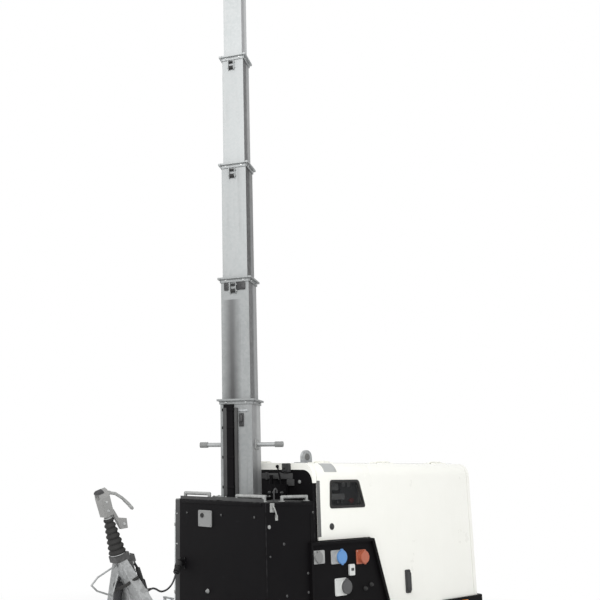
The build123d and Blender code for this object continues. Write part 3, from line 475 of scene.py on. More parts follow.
class Grain(Enum):
    """The fine surface that a finish has."""

    SPANGLE = "galvanised crystals"
    PEEL = "sprayed or moulded skin"
    CAST = "cast or rubber skin"


class NodeBench:
    """Short ways to add and join shader nodes in one tree."""

    def __init__(self, tree: bpy.types.NodeTree) -> None:
        """Works on one node tree."""
        self.tree = tree

    def add(self, kind: str, inputs: dict[str | int, object] | None = None, **settings: object) -> bpy.types.Node:
        """Adds a node.

        Args:
            kind: Its type, without the leading "ShaderNode".
            inputs: Input names to constants or to sockets that feed them.
            settings: Its own properties.

        Returns:
            The node.
        """
        node = self.tree.nodes.new("ShaderNode" + kind)
        for key, value in settings.items():
            setattr(node, key, value)
        for key, value in (inputs or {}).items():
            self.feed(value, node.inputs[key])
        return node

    def feed(self, value: object, socket: Socket) -> None:
        """Joins a socket to an input, or sets the input's own constant.

        Args:
            value: A number, a colour or a socket.
            socket: The input that it goes to.
        """
        if isinstance(value, Socket):
            self.tree.links.new(value, socket)
        elif isinstance(value, tuple) and len(value) == 3 and socket.type == "RGBA":
            socket.default_value = (*value, 1.0)
        else:
            socket.default_value = value

    def maths(self, operation: str, a: object, b: object = 0.0, clamp: bool = False) -> Socket:
        """A sum on two values."""
        return self.add("Math", {0: a, 1: b}, operation=operation, use_clamp=clamp).outputs[0]

    def times(self, a: object, b: object, clamp: bool = False) -> Socket:
        """One value times another."""
        return self.maths("MULTIPLY", a, b, clamp)

    def plus(self, a: object, b: object, clamp: bool = False) -> Socket:
        """Two values added."""
        return self.maths("ADD", a, b, clamp)

    def minus(self, a: object, b: object) -> Socket:
        """One value less another."""
        return self.maths("SUBTRACT", a, b)

    def size(self, a: object) -> Socket:
        """A value without its sign."""
        return self.maths("ABSOLUTE", a)

    def split(self, vector: object) -> bpy.types.bpy_prop_collection:
        """The x, y and z of a vector."""
        return self.add("SeparateXYZ", {0: vector}).outputs

    def mix(self, factor: object, a: object, b: object) -> Socket:
        """A blend of two colours.

        Args:
            factor: How much of the second.
            a: The first colour.
            b: The second colour.

        Returns:
            The socket that carries the result.
        """
        node = self.tree.nodes.new("ShaderNodeMix")
        node.data_type = "RGBA"
        self.feed(factor, node.inputs[0])
        self.feed(a, node.inputs[6])
        self.feed(b, node.inputs[7])
        return node.outputs[2]

    def span(self, value: object, low: object, high: object, to_low: object = 0.0,
             to_high: object = 1.0) -> Socket:
        """A value stretched from one range to another, and held at its ends."""
        return self.add("MapRange", {0: value, 1: low, 2: high, 3: to_low, 4: to_high}).outputs[0]

    def noise(self, vector: object, scale: object, detail: float = 3.0) -> Socket:
        """Smooth noise about 0.5."""
        return self.add("TexNoise", {"Vector": vector, "Scale": scale, "Detail": detail}).outputs["Fac"]

    def place(self) -> Socket:
        """The surface's own place in the model."""
        return self.add("TexCoord").outputs["Object"]


class Effects:
    """Shader groups that several finishes share. Each is drawn once, by the method of its own name."""

    corners = {f"{end} {axis}": 0.0 for end in ("Low", "High") for axis in "XYZ"}
    inputs: dict[str, dict[str, float]] = {
        "grain": {"Scale": 60.0}, "dust": {"Top": 0.9, "Amount": 0.2}, "runs": {"Amount": 0.3},
        "scuffs": {"Amount": 0.3}, "edge_wear": {**corners, "Width": 0.01, "Amount": 0.5}}

    @classmethod
    def node(cls, bench: NodeBench, kind: str, values: dict[str, float], grain: Grain | None = None
             ) -> dict[str, Socket]:
        """Adds one effect to a material.

        Args:
            bench: The material's node bench.
            kind: The method that draws the effect.
            values: What its inputs are set to.
            grain: Which grain, where the kind is "grain".

        Returns:
            The group node's outputs by name: Tone and Height for a grain, Mask for the others.
        """
        name = f"{kind}_{grain.name.lower()}" if grain else kind
        tree = bpy.data.node_groups.get(name)
        if tree is None:
            tree = bpy.data.node_groups.new(name, "ShaderNodeTree")
            for label, value in cls.inputs[kind].items():
                socket = tree.interface.new_socket(name=label, in_out="INPUT", socket_type="NodeSocketFloat")
                socket.default_value = value
            for label in ("Tone", "Height") if grain else ("Mask",):
                tree.interface.new_socket(name=label, in_out="OUTPUT", socket_type="NodeSocketFloat")
            inner = NodeBench(tree)
            entry, out = (tree.nodes.new("NodeGroup" + end) for end in ("Input", "Output"))
            sockets = getattr(cls, kind)(inner, inner.place(), entry.outputs, *([grain] if grain else ()))
            for value, socket in zip(sockets, out.inputs):
                inner.feed(value, socket)
        return bench.add("Group", values, node_tree=tree).outputs

    @staticmethod
    def grain(bench: NodeBench, place: object, given: dict, kind: Grain) -> tuple[object, object]:
        """The fine surface of a kind: a tone from 0 to 1 and a height for a bump.

        Args:
            bench: The node bench to build on.
            place: The socket that carries the place on the object.
            given: The group's inputs by name.
            kind: Which grain.

        Returns:
            The group's two outputs.
        """
        scale = given["Scale"]
        if kind is Grain.PEEL:
            return bench.noise(place, 4.0, 5.0), bench.noise(place, scale, 2.0)
        if kind is Grain.CAST:
            fine = bench.noise(place, scale, 4.0)
            return bench.plus(bench.times(fine, 0.5), bench.times(bench.noise(place, 9.0, 4.0), 0.5)), fine
        bend = bench.add("TexNoise", {"Vector": place, "Scale": scale, "Detail": 2.0}).outputs["Color"]
        warped = bench.add("VectorMath", {0: bend, 3: 0.016}, operation="SCALE").outputs[0]
        moved = bench.add("VectorMath", {0: place, 1: warped}, operation="ADD").outputs[0]
        cells = bench.add("TexVoronoi", {"Vector": moved, "Scale": scale}, feature="F1")
        tone = bench.add("SeparateColor", {0: cells.outputs["Color"]}).outputs[0]
        cloud = bench.noise(place, 5.0, 4.0)
        tone = bench.plus(bench.times(tone, 0.55), bench.times(cloud, 0.45))
        return tone, bench.times(bench.noise(place, 240.0, 2.0), 0.5)

    @staticmethod
    def dust(bench: NodeBench, place: object, given: dict) -> tuple[object]:
        """Road dust: full at the ground, gone at the height Top, and broken up by noise.

        Args:
            bench: The node bench to build on.
            place: The socket that carries the place on the object.
            given: The group's inputs by name.

        Returns:
            The group's one output.
        """
        low = bench.span(bench.split(place)[2], 0.0, given["Top"], 1.0, 0.0)
        patch = bench.span(bench.noise(place, 7.0, 6.0), 0.32, 0.7)
        fleck = bench.span(bench.noise(place, 90.0, 3.0), 0.35, 0.75)
        both = bench.plus(bench.times(patch, 0.7), bench.times(fleck, 0.3))
        level = bench.plus(bench.times(low, 0.85), 0.15)
        return (bench.times(bench.times(both, level), given["Amount"], clamp=True),)

    @staticmethod
    def runs(bench: NodeBench, place: object, given: dict) -> tuple[object]:
        """Vertical water and grease runs: noise drawn out along z and cut to its peaks.

        Args:
            bench: The node bench to build on.
            place: The socket that carries the place on the object.
            given: The group's inputs by name.

        Returns:
            The group's one output.
        """
        drawn = bench.add("Mapping", {"Vector": place, "Scale": (38.0, 38.0, 1.3)}).outputs[0]
        line = bench.span(bench.noise(drawn, 1.0, 3.0), 0.5, 0.72)
        broken = bench.span(bench.noise(place, 3.0, 3.0), 0.4, 0.65)
        return (bench.times(bench.times(line, broken), given["Amount"], clamp=True),)

    @staticmethod
    def scuffs(bench: NodeBench, place: object, given: dict) -> tuple[object]:
        """Short rubbed marks: thin ridges of drawn-out noise where a larger noise lets them show.

        Args:
            bench: The node bench to build on.
            place: The socket that carries the place on the object.
            given: The group's inputs by name.

        Returns:
            The group's one output.
        """
        drawn = bench.add("Mapping", {"Vector": place, "Rotation": (0.5, 0.3, 0.6),
                                      "Scale": (160.0, 14.0, 30.0)}).outputs[0]
        ridge = bench.span(bench.noise(drawn, 1.0, 2.0), 0.68, 0.74)
        patch = bench.span(bench.noise(place, 6.0, 4.0), 0.52, 0.66)
        return (bench.times(bench.times(ridge, patch), given["Amount"], clamp=True),)

    @staticmethod
    def edge_wear(bench: NodeBench, place: object, given: dict) -> tuple[object]:
        """Wear along a box's edges: the middle one of the three distances to its nearest faces, broken by noise.

        Args:
            bench: The node bench to build on.
            place: The socket that carries the place on the object.
            given: The group's inputs by name.

        Returns:
            The group's one output.
        """
        xyz = bench.split(place)
        near = []
        for k, axis in enumerate("XYZ"):
            ends = [bench.size(bench.minus(xyz[k], given[f"{end} {axis}"])) for end in ("Low", "High")]
            near.append(bench.maths("MINIMUM", *ends))
        inner = bench.maths("MINIMUM", bench.maths("MAXIMUM", near[0], near[1]), near[2])
        middle = bench.maths("MAXIMUM", bench.maths("MINIMUM", near[0], near[1]), inner)
        edge = bench.span(middle, given["Width"], 0.0)
        patch = bench.span(bench.noise(place, 26.0, 6.0), 0.42, 0.62)
        return (bench.times(bench.times(edge, patch), given["Amount"], clamp=True),)


@dataclass(frozen=True)
class Finish:
    """One finish: two tones broken up by its grain, a roughness range, and its dust, runs and scuffs."""

    name: str
    base: Colour
    tone: Colour
    roughness: tuple[float, float]
    scale: float = 300.0
    bump: float = 0.08
    metallic: float = 0.0
    grain: Grain = Grain.PEEL
    specular: float = 0.5
    coat: float = 0.0
    dust: float = 0.0
    dust_top: float = 0.9
    dust_colour: Colour = (0.3, 0.27, 0.23)
    runs: float = 0.0
    runs_colour: Colour = (0.08, 0.08, 0.08)
    scuffs: float = 0.0
    scuff_colour: Colour = (0.35, 0.35, 0.35)
    alpha: float = 1.0

    def layers(self, bench: NodeBench) -> tuple[object, object, Socket]:
        """The colour, roughness and height of this finish.

        Args:
            bench: The material's node bench.

        Returns:
            Colour socket, roughness socket and height socket.
        """
        grain = Effects.node(bench, "grain", {"Scale": self.scale}, self.grain)
        colour = bench.mix(bench.span(grain["Tone"], 0.25, 0.75), self.base, self.tone)
        rough = bench.span(grain["Tone"], 0.2, 0.8, *self.roughness)
        for kind, amount, tint in (("runs", self.runs, self.runs_colour), ("scuffs", self.scuffs, self.scuff_colour)):
            if amount:
                colour = bench.mix(Effects.node(bench, kind, {"Amount": amount})["Mask"], colour, tint)
        if self.dust:
            mask = Effects.node(bench, "dust", {"Top": self.dust_top, "Amount": self.dust})["Mask"]
            colour = bench.mix(mask, colour, self.dust_colour)
            rough = bench.plus(rough, bench.times(mask, 0.3), clamp=True)
        return colour, rough, grain["Height"]

    def material(self) -> bpy.types.Material:
        """The finished material, made once and then found by its name.

        Returns:
            The material.
        """
        if self.name in bpy.data.materials:
            return bpy.data.materials[self.name]
        made = bpy.data.materials.new(self.name)
        made.use_nodes = True
        bench = NodeBench(made.node_tree)
        shader = made.node_tree.nodes["Principled BSDF"]
        colour, rough, height = self.layers(bench)
        colour, rough = self.extra(bench, colour, rough)
        bench.feed(colour, shader.inputs["Base Color"])
        bench.feed(rough, shader.inputs["Roughness"])
        bump = bench.add("Bump", {"Strength": self.bump, "Distance": 0.002, "Height": height})
        bench.feed(bump.outputs[0], shader.inputs["Normal"])
        for key, value in (("Metallic", self.metallic), ("Specular IOR Level", self.specular),
                           ("Coat Weight", self.coat), ("Coat Roughness", 0.12), ("Alpha", self.alpha)):
            shader.inputs[key].default_value = value
        made.diffuse_color = (*self.base, self.alpha)
        return made

    def extra(self, bench: NodeBench, colour: object, rough: object) -> tuple[object, object]:
        """Room for a finish of a special kind to add its own layer."""
        return colour, rough


@dataclass(frozen=True)
class WornFinish(Finish):
    """A painted box whose edges are rubbed pale. The box is given by its two corners."""

    low: Vector = (0.261, -0.52, 0.56)
    high: Vector = (0.7664, 0.52, 1.5)
    wear: float = 0.5
    wear_width: float = 0.01
    wear_colour: Colour = (0.09, 0.09, 0.09)

    def extra(self, bench: NodeBench, colour: object, rough: object) -> tuple[object, object]:
        """Lays the shared edge wear over the colour, and dulls it there.

        Args:
            bench: The node bench to build on.
            colour: The colour so far.
            rough: The roughness so far.

        Returns:
            The new colour and roughness.
        """
        values = dict(zip(Effects.inputs["edge_wear"], (*self.low, *self.high, self.wear_width, self.wear)))
        mask = Effects.node(bench, "edge_wear", values)["Mask"]
        return bench.mix(mask, colour, self.wear_colour), bench.plus(rough, bench.times(mask, 0.2), clamp=True)


@dataclass(frozen=True)
class MastFinish(Finish):
    """Galvanised tube: a dark band down its front, and painted light and shade on its sides."""

    band_at: float = -0.03
    band_half: float = 0.0
    band_low: float = 2.27
    band_high: float = 3.1
    band_colour: Colour = (0.07, 0.07, 0.071)
    origin: tuple[float, float] = (0.0, 0.0)
    half: float = 0.13
    # Painted light and shade on the side faces: this tone at their leading part, the next one behind it.
    painted_side_shade: Colour = (0.1, 0.1, 0.1)
    painted_far_side_light: Colour = (0.3, 0.3, 0.3)
    bar_top: float = 0.0
    bar_tone: Colour = (0.37, 0.38, 0.38)

    def extra(self, bench: NodeBench, colour: object, rough: object) -> tuple[object, object]:
        """Darkens a soft-edged band on the front face, and paints light and shade over both side faces, darkest at
        their leading part.

        Args:
            bench: The node bench to build on.
            colour: The colour so far.
            rough: The roughness so far.

        Returns:
            The new colour and roughness.
        """
        place = bench.place()
        x, y, z = bench.split(place)
        c, s = math.cos(MAST_TURN), math.sin(MAST_TURN)
        dx = bench.minus(x, self.origin[0])
        across = bench.minus(bench.times(y, c), bench.times(dx, s))
        out = bench.plus(bench.times(y, s), bench.times(dx, c))
        wobble = bench.times(bench.minus(bench.noise(place, 12.0, 3.0), 0.5), 0.02)
        on_side = bench.span(bench.size(across), self.half - 0.0012, self.half - 0.0004)
        lead = bench.span(bench.plus(out, wobble), -self.half * 0.25, self.half * 0.1)
        tube_only = bench.span(bench.size(across), self.half + 0.003, self.half + 0.002)
        # The side faces, where light and shade are painted over the steel's own colour.
        side = bench.times(bench.times(on_side, tube_only), 0.95)
        colour = bench.mix(side, colour, bench.mix(lead, self.painted_far_side_light, self.painted_side_shade))
        if self.bar_top:
            bar = bench.span(bench.size(across), self.half + 0.004, self.half + 0.006)
            below = bench.maths("LESS_THAN", z, self.bar_top)
            colour = bench.mix(bench.times(bar, below), colour, self.bar_tone)
        if self.band_half:
            off = bench.size(bench.minus(across, self.band_at))
            band = bench.span(bench.plus(off, wobble), self.band_half, self.band_half * 0.1)
            front = bench.span(out, self.half - 0.004, self.half - 0.002)
            fade = bench.span(z, self.band_high, self.band_high - 0.75, 0.72, 1.0)
            inside = bench.times(bench.maths("LESS_THAN", z, self.band_high),
                                 bench.maths("GREATER_THAN", z, self.band_low))
            mask = bench.times(bench.times(band, front), bench.times(fade, inside))
            colour = bench.mix(mask, colour, self.band_colour)
        return colour, rough


GALVANISED = Finish("galvanised", (0.3, 0.31, 0.32), (0.44, 0.455, 0.46), (0.38, 0.6), 55.0, 0.12, metallic=0.6,
    grain=Grain.SPANGLE, dust=0.35, dust_top=0.8, runs=0.25, runs_colour=(0.2, 0.21, 0.21))
LEG_GREY = Finish("drawbar_galvanised", (0.25, 0.255, 0.255), (0.37, 0.38, 0.38), (0.42, 0.62), 60.0, 0.12,
    metallic=0.45, grain=Grain.SPANGLE, dust=0.2, dust_top=1.0, runs=0.3, runs_colour=(0.18, 0.18, 0.175))
RAIL_GREY = Finish("rail_galvanised", (0.27, 0.275, 0.27), (0.4, 0.405, 0.395), (0.5, 0.68), 70.0, 0.08,
    metallic=0.2, grain=Grain.SPANGLE, specular=0.3)
PALE_TUBE = Finish("pale_galvanised", (0.6, 0.62, 0.62), (0.72, 0.74, 0.74), (0.4, 0.6), 60.0, 0.08, metallic=0.2,
    grain=Grain.SPANGLE)
RING_GREY = Finish("ring_galvanised", (0.05, 0.051, 0.05), (0.09, 0.091, 0.089), (0.55, 0.75), 50.0, 0.1,
    metallic=0.2, grain=Grain.SPANGLE, specular=0.3, runs=0.4)
BLACK_COAT = Finish("black_powder_coat", (0.0032, 0.0029, 0.0035), (0.0058, 0.0053, 0.0062), (0.52, 0.68), 420.0,
    0.18, specular=0.07, dust=0.02, dust_top=1.1, scuffs=0.25, scuff_colour=(0.03, 0.03, 0.032))
HOUSING_BLACK = WornFinish("housing_black", (0.0032, 0.0029, 0.0035), (0.0058, 0.0053, 0.0062), (0.52, 0.68), 420.0,
    0.18, specular=0.07, dust=0.02, dust_top=1.1, scuffs=0.25, scuff_colour=(0.03, 0.03, 0.032))
# A paler black: on the housing's top sheets it is painted sheen of the top faces, together with dust.
DUST_AND_SHEEN_BLACK = Finish("dust_and_sheen_black", (0.045, 0.045, 0.046), (0.08, 0.08, 0.079), (0.6, 0.8), 300.0, 0.15,
    specular=0.15)
WHITE_SHELL = Finish("white_shell", (0.955, 0.95, 0.885), (0.975, 0.97, 0.91), (0.24, 0.36), 160.0, 0.04,
    coat=0.25, dust=0.05, dust_top=1.6, runs=0.04, runs_colour=(0.6, 0.58, 0.54))
BLACK_PLASTIC = Finish("black_plastic", (0.005, 0.005, 0.006), (0.01, 0.01, 0.011), (0.45, 0.62), 700.0, 0.3,
    specular=0.16, dust=0.04)
RUBBER = Finish("rubber", (0.012, 0.012, 0.012), (0.032, 0.031, 0.03), (0.62, 0.82), 220.0, 0.3, grain=Grain.CAST,
    specular=0.3, dust=0.1)
TYRE = Finish("tyre_rubber", (0.016, 0.016, 0.016), (0.03, 0.029, 0.028), (0.7, 0.9), 260.0, 0.35, grain=Grain.CAST,
    specular=0.3, dust=0.45, dust_top=0.7)
RIM_PAINT = Finish("rim_silver", (0.52, 0.53, 0.54), (0.6, 0.61, 0.62), (0.3, 0.45), 350.0, 0.06, metallic=0.6,
    dust=0.4, dust_top=0.7, scuffs=0.3, scuff_colour=(0.2, 0.2, 0.2))
CAST_BLACK = Finish("cast_black", (0.02, 0.02, 0.021), (0.05, 0.05, 0.052), (0.45, 0.62), 130.0, 0.35, metallic=0.2,
    grain=Grain.CAST, dust=0.1, scuffs=0.7, scuff_colour=(0.3, 0.3, 0.3))
ZINC = Finish("zinc_plate", (0.42, 0.43, 0.43), (0.54, 0.55, 0.54), (0.28, 0.45), 130.0, 0.05, metallic=0.8,
    grain=Grain.SPANGLE)
DULL_ZINC = Finish("dull_zinc", (0.3, 0.305, 0.3), (0.4, 0.405, 0.39), (0.35, 0.55), 150.0, 0.08, metallic=0.5,
    grain=Grain.SPANGLE)
CAST_ZINC = Finish("cast_zinc", (0.23, 0.23, 0.225), (0.34, 0.34, 0.33), (0.4, 0.6), 150.0, 0.2, metallic=0.4,
    grain=Grain.CAST, scuffs=0.3, scuff_colour=(0.12, 0.12, 0.12))
CAST_GREY = Finish("cast_grey", (0.02, 0.02, 0.021), (0.11, 0.11, 0.108), (0.45, 0.65), 60.0, 0.3, metallic=0.2,
    grain=Grain.CAST, dust=0.1, scuffs=0.6, scuff_colour=(0.2, 0.2, 0.2))
COVER_GREY = Finish("cover_grey", (0.19, 0.192, 0.19), (0.26, 0.262, 0.258), (0.4, 0.55), 500.0, 0.1)
MAINS_GREY = Finish("mains_grey", (0.36, 0.365, 0.36), (0.44, 0.445, 0.44), (0.42, 0.56), 500.0, 0.1)
INLET_GREY = Finish("inlet_grey", (0.065, 0.066, 0.067), (0.1, 0.1, 0.1), (0.4, 0.55), 500.0, 0.12)
GREY_PLASTIC = Finish("grey_plastic", (0.42, 0.43, 0.42), (0.5, 0.51, 0.5), (0.4, 0.55), 500.0, 0.12, dust=0.1)
PALE_PLASTIC = Finish("pale_plastic", (0.66, 0.67, 0.65), (0.74, 0.75, 0.73), (0.35, 0.5), 500.0, 0.1, dust=0.08)
BLUE_PLASTIC = Finish("socket_blue", (0.1, 0.26, 0.56), (0.13, 0.31, 0.62), (0.32, 0.46), 500.0, 0.08)
RED_PLASTIC = Finish("socket_red", (0.4, 0.1, 0.05), (0.46, 0.13, 0.07), (0.32, 0.46), 500.0, 0.08)
PANEL_PALE = Finish("pale_grey_trim", (0.4, 0.41, 0.405), (0.5, 0.51, 0.5), (0.4, 0.55), 420.0, 0.08)
TRIM_GREY = Finish("trim_grey", (0.125, 0.127, 0.125), (0.17, 0.172, 0.168), (0.5, 0.7), 420.0, 0.08, specular=0.3)
DARK_CAST = Finish("dark_cast", (0.03, 0.03, 0.031), (0.055, 0.055, 0.056), (0.5, 0.7), 160.0, 0.25,
    grain=Grain.CAST, specular=0.2)
PANEL_GREY = Finish("control_grey", (0.2, 0.21, 0.22), (0.25, 0.26, 0.27), (0.4, 0.55), 420.0, 0.1)
ENGINE_PAINT = Finish("engine_paint", (0.05, 0.052, 0.055), (0.085, 0.088, 0.09), (0.4, 0.6), 90.0, 0.25,
    metallic=0.1, grain=Grain.CAST, dust=0.2, dust_top=1.5)
TINTED = Finish("tinted_pane", (0.008, 0.009, 0.01), (0.014, 0.015, 0.016), (0.06, 0.1), 30.0, 0.01, specular=0.15,
    alpha=0.5)
LAMP_BLACK = Finish("lamp_black", (0.02, 0.02, 0.022), (0.032, 0.032, 0.034), (0.42, 0.56), 520.0, 0.15, metallic=0.3,
    specular=0.4)
LAMP_GLASS = Finish("lamp_glass", (0.75, 0.78, 0.8), (0.82, 0.84, 0.86), (0.03, 0.06), 20.0, 0.005, alpha=0.22,
    coat=0.5)
REFLECTOR = Finish("lamp_reflector", (0.72, 0.73, 0.74), (0.82, 0.83, 0.83), (0.12, 0.2), 60.0, 0.02, metallic=0.95)
LED_LENS = Finish("led_lens", (0.86, 0.87, 0.8), (0.92, 0.92, 0.86), (0.08, 0.16), 80.0, 0.02, coat=0.6)
RED_LENS = Finish("red_lens", (0.42, 0.01, 0.012), (0.5, 0.02, 0.02), (0.12, 0.2), 250.0, 0.1, coat=0.4)
AMBER_LENS = Finish("amber_lens", (0.75, 0.22, 0.01), (0.8, 0.27, 0.02), (0.12, 0.2), 250.0, 0.1, coat=0.4)
CLEAR_LENS = Finish("clear_lens", (0.72, 0.74, 0.75), (0.8, 0.82, 0.83), (0.1, 0.18), 250.0, 0.1, coat=0.4)
GRIP_RUBBER = Finish("grip_rubber", (0.03, 0.03, 0.032), (0.05, 0.05, 0.052), (0.55, 0.75), 420.0, 0.3,
    grain=Grain.CAST, specular=0.3, dust=0.1)
CABLE_RUBBER = Finish("cable_sheath", (0.04, 0.041, 0.043), (0.065, 0.066, 0.068), (0.4, 0.58), 500.0, 0.15,
    grain=Grain.CAST, specular=0.4, dust=0.1)
SCREW_GREY = Finish("dark_screws", (0.055, 0.056, 0.057), (0.1, 0.1, 0.1), (0.4, 0.6), 160.0, 0.1, metallic=0.3,
    grain=Grain.SPANGLE)
GRIP_GREY = Finish("grey_grip", (0.2, 0.205, 0.2), (0.3, 0.305, 0.3), (0.5, 0.7), 420.0, 0.3, grain=Grain.CAST)
ENGINE_GREY = Finish("engine_grey", (0.2, 0.21, 0.22), (0.28, 0.29, 0.3), (0.35, 0.55), 120.0, 0.2, metallic=0.2,
    grain=Grain.CAST, dust=0.2, dust_top=1.5)
SOOTED_STEEL = Finish("sooted_steel", (0.1, 0.085, 0.07), (0.2, 0.17, 0.14), (0.5, 0.75), 60.0, 0.3, metallic=0.6,
    grain=Grain.CAST)
PANEL_FACE = Finish("panel_face", (0.11, 0.115, 0.12), (0.14, 0.145, 0.15), (0.4, 0.5), 420.0, 0.08)
STOP_RED = Finish("stop_red", (0.5, 0.015, 0.012), (0.58, 0.03, 0.02), (0.25, 0.35), 300.0, 0.05, coat=0.3)


def dress(frame: dict, node: str, finish: Finish) -> None:
    """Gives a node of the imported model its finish.

    Args:
        node: The node's name.
        finish: The finish for all of it.
    """
    piece = frame["nodes"][node]
    piece.data.materials.clear()
    piece.data.materials.append(finish.material())
    LOG.info("%s wears %s", node, finish.name)


# Sub-assemblies


SIDES = ((1, "+y"), (-1, "-y"))
FACING = dict(SIDES)


@dataclass(frozen=True)
class Piece:
    """What a sub-assembly needs for each of its surfaces: a name, its body, its finish and its slot."""

    name: str
    body: str
    finish: Finish
    slot: str
    replaces: tuple[str, ...] = ()
    smooth: float = 35.0

    def make(self, surface: Surface) -> bpy.types.Object:
        """Builds the surface as this piece."""
        return surface.build(self.name, self.body, self.finish.material(), self.slot, self.replaces, self.smooth)


def fitting(name: str, finish: Finish, slot: str, *args: object, body: str = "trailer",
            replaces: tuple[str, ...] = ()) -> Callable[[Callable], Callable]:
    """Marks the method that fills one piece's surface.

    Args:
        name: The piece's name.
        finish: Its finish.
        slot: The record's material slot it stands for.
        args: What the method is called with, after the surface.
        body: The body that it moves with.
        replaces: Nodes that it stands for.

    Returns:
        A decorator. Where a method has several, the pieces are made in the order in which they are written.
    """
    def mark(method: Callable) -> Callable:
        method.pieces = [(Piece(name, body, finish, slot, replaces), args), *getattr(method, "pieces", [])]
        return method
    return mark


class Assembly:
    """A group of fittings. Its distances run back from the housing's front face."""

    front: float
    half: float

    def on(self, back: float, y: float, z: float, direction: str = "+z") -> Place:
        """A place whose +Z points in a direction of the frame."""
        return Place((self.front - back, y, z)).facing(direction)

    def flank(self, side: int, back: float, z: float, out: float = 0.0) -> Place:
        """A place on the left side (1) or the right side (-1), facing outwards."""
        return self.on(back, side * (self.half + out), z, FACING[side])

    def fit(self) -> None:
        """Makes every marked piece, in the order of the class."""
        for method in vars(type(self)).values():
            for piece, args in getattr(method, "pieces", ()):
                surface = Surface()
                method(self, surface, *args)
                piece.make(surface)


@dataclass
class Mast(Assembly):
    """The telescopic mast: a finish for each tube, and the bolts, sheaves, grips and straps on it."""

    place: Place
    sizes: tuple[float, ...] = (0.26, 0.236, 0.212, 0.188, 0.164, 0.14, 0.116)
    top: float = 2.285
    rise: float = 1.0
    bracket_y: float = -0.012
    duct_y: float = -0.057
    duct_face: float = 0.164
    bar_z: float = 1.93
    bar_end: float = 0.345
    tones: tuple[float, ...] = (0.262, 0.282, 0.345, 0.39, 0.43, 0.45, 0.45)
    # Painted light and shade on each tube's side faces: at their leading part, and further back.
    painted_side_shades: tuple[float, ...] = (0.255, 0.095, 0.02, 0.085, 0.33, 0.36, 0.38)
    painted_far_side_lights: tuple[float, ...] = (0.42, 0.3, 0.19, 0.33, 0.52, 0.52, 0.52)
    # ahead of the tube's face, below the guide's height, size of the axle's head
    sheaves: tuple[Vector, ...] = ((0.009, 0.074, 0.013), (0.01, 0.022, 0.01))

    def spot(self, x: float, y: float, z: float, direction: str = "+x") -> Place:
        """A place in the mast's own frame."""
        return self.place.at(x, y, z).facing(direction)

    def guide(self, index: int) -> tuple[float, float]:
        """How far out a tube's front face is, and the height of its guide."""
        return self.sizes[index] / 2, self.top + self.rise * index - 0.04

    def finish(self, index: int) -> Finish:
        """The galvanised finish of one tube, darker further down, with more runs on the lower three and painted light
        and shade on its side faces.

        Args:
            index: Which tube, from 0 at the foot.

        Returns:
            The finish.
        """
        tone, side, far = self.tones[index], self.painted_side_shades[index], self.painted_far_side_lights[index]
        return MastFinish(f"mast_tube_{index + 1}", (tone * 0.93, tone * 0.97, tone * 0.97),
                          (tone * 1.07, tone * 1.1, tone * 1.1), (0.42, 0.58), 45.0, 0.1, 0.35, Grain.SPANGLE,
                          runs=0.4 if index < 3 else 0.2, runs_colour=(tone * 0.6, tone * 0.61, tone * 0.61),
                          origin=tuple(self.place.origin[:2]), half=self.sizes[index] / 2,
                          band_half=0.08 if index == 1 else 0.0, painted_side_shade=(side, side * 1.01, side * 1.02),
                          painted_far_side_light=(far, far * 1.02, far * 1.02), bar_top=2.05 if index == 0 else 0.0)

    def bolts(self, index: int) -> Surface:
        """Pad bolts round the band under one collar, two on each side.

        Args:
            index: Which tube, from 0 at the foot.

        Returns:
            The finished surface.
        """
        surface, size = Surface(), self.sizes[index]
        half, z = size / 2 + 0.008, self.top + self.rise * index - 0.027
        for direction, sign in (("+x", 1), ("-x", -1), ("+y", 1), ("-y", -1)):
            for off in (-0.32 * size, 0.32 * size):
                x, y = (sign * half, off) if direction[1] == "x" else (off, sign * half)
                surface.bolt(self.spot(x, y, z, direction), 0.013, 0.007)
        return surface

    def sheave(self, index: int) -> Surface:
        """The grooved cable sheave and the idler above it, between the cheeks under one collar.

        Args:
            index: Which tube, from 0 at the foot.

        Returns:
            The finished surface.
        """
        surface, (face, z) = Surface(), self.guide(index)
        wide = ((0.0155, -0.0205), (0.017, -0.0195), (0.017, -0.015), (0.0158, -0.009))
        small = ((0.0082, -0.0205), (0.0092, -0.0195))
        for (ahead, drop, _), half, count in zip(self.sheaves, (wide, small), (28, 20)):
            surface.turn(self.spot(face + ahead, self.bracket_y, z - drop, "+y"), mirrored(half), count)
        return surface

    def cheek_bolts(self, index: int) -> Surface:
        """Axle heads on the outer faces of one bracket's cheeks.

        Args:
            index: Which tube, from 0 at the foot.

        Returns:
            The finished surface.
        """
        surface, (face, z) = Surface(), self.guide(index)
        for side, direction in SIDES:
            for ahead, drop, across in self.sheaves:
                surface.bolt(self.spot(face + ahead, self.bracket_y + side * 0.0265, z - drop, direction), across,
                             0.006)
        return surface

    @fitting("turning_bar_grips", GRIP_GREY, "black_plastic", body="mast_1")
    def grips(self, skin: Surface) -> None:
        """Ribbed rubber sleeves on the ends of the two turning bars.

        Args:
            skin: The surface that the shapes go to.
        """
        ribs, length = 9, 0.062
        z = np.linspace(0.0, length, 4 * ribs + 1)
        r = 0.0222 + 0.0012 * np.cos(z / length * ribs * TAU)
        profile = [(0.0175, -0.0005), *zip(r, z), (0.018, 0.0645), (0.01, 0.0665)]
        for side, direction in SIDES:
            skin.turn(self.spot(0.0, side * (self.bar_end - 0.0645), self.bar_z, direction), profile, 24)

    @fitting("turning_bar_collars", RAIL_GREY, "galvanised_steel", body="mast_1")
    def bar_collars(self, skin: Surface) -> None:
        """Welded collars with two bolts where the turning bars leave the tube.

        Args:
            skin: The surface that the shapes go to.
        """
        for side, direction in SIDES:
            spot = self.spot(0.0, side * (self.sizes[0] / 2 + 0.0005), self.bar_z, direction)
            skin.pad(spot, 0.11, 0.08, 0.006, 0.012, 0.0015)
            skin.bolts((spot.at(off, 0.0, 0.006) for off in (-0.043, 0.043)), 0.013, 0.007)

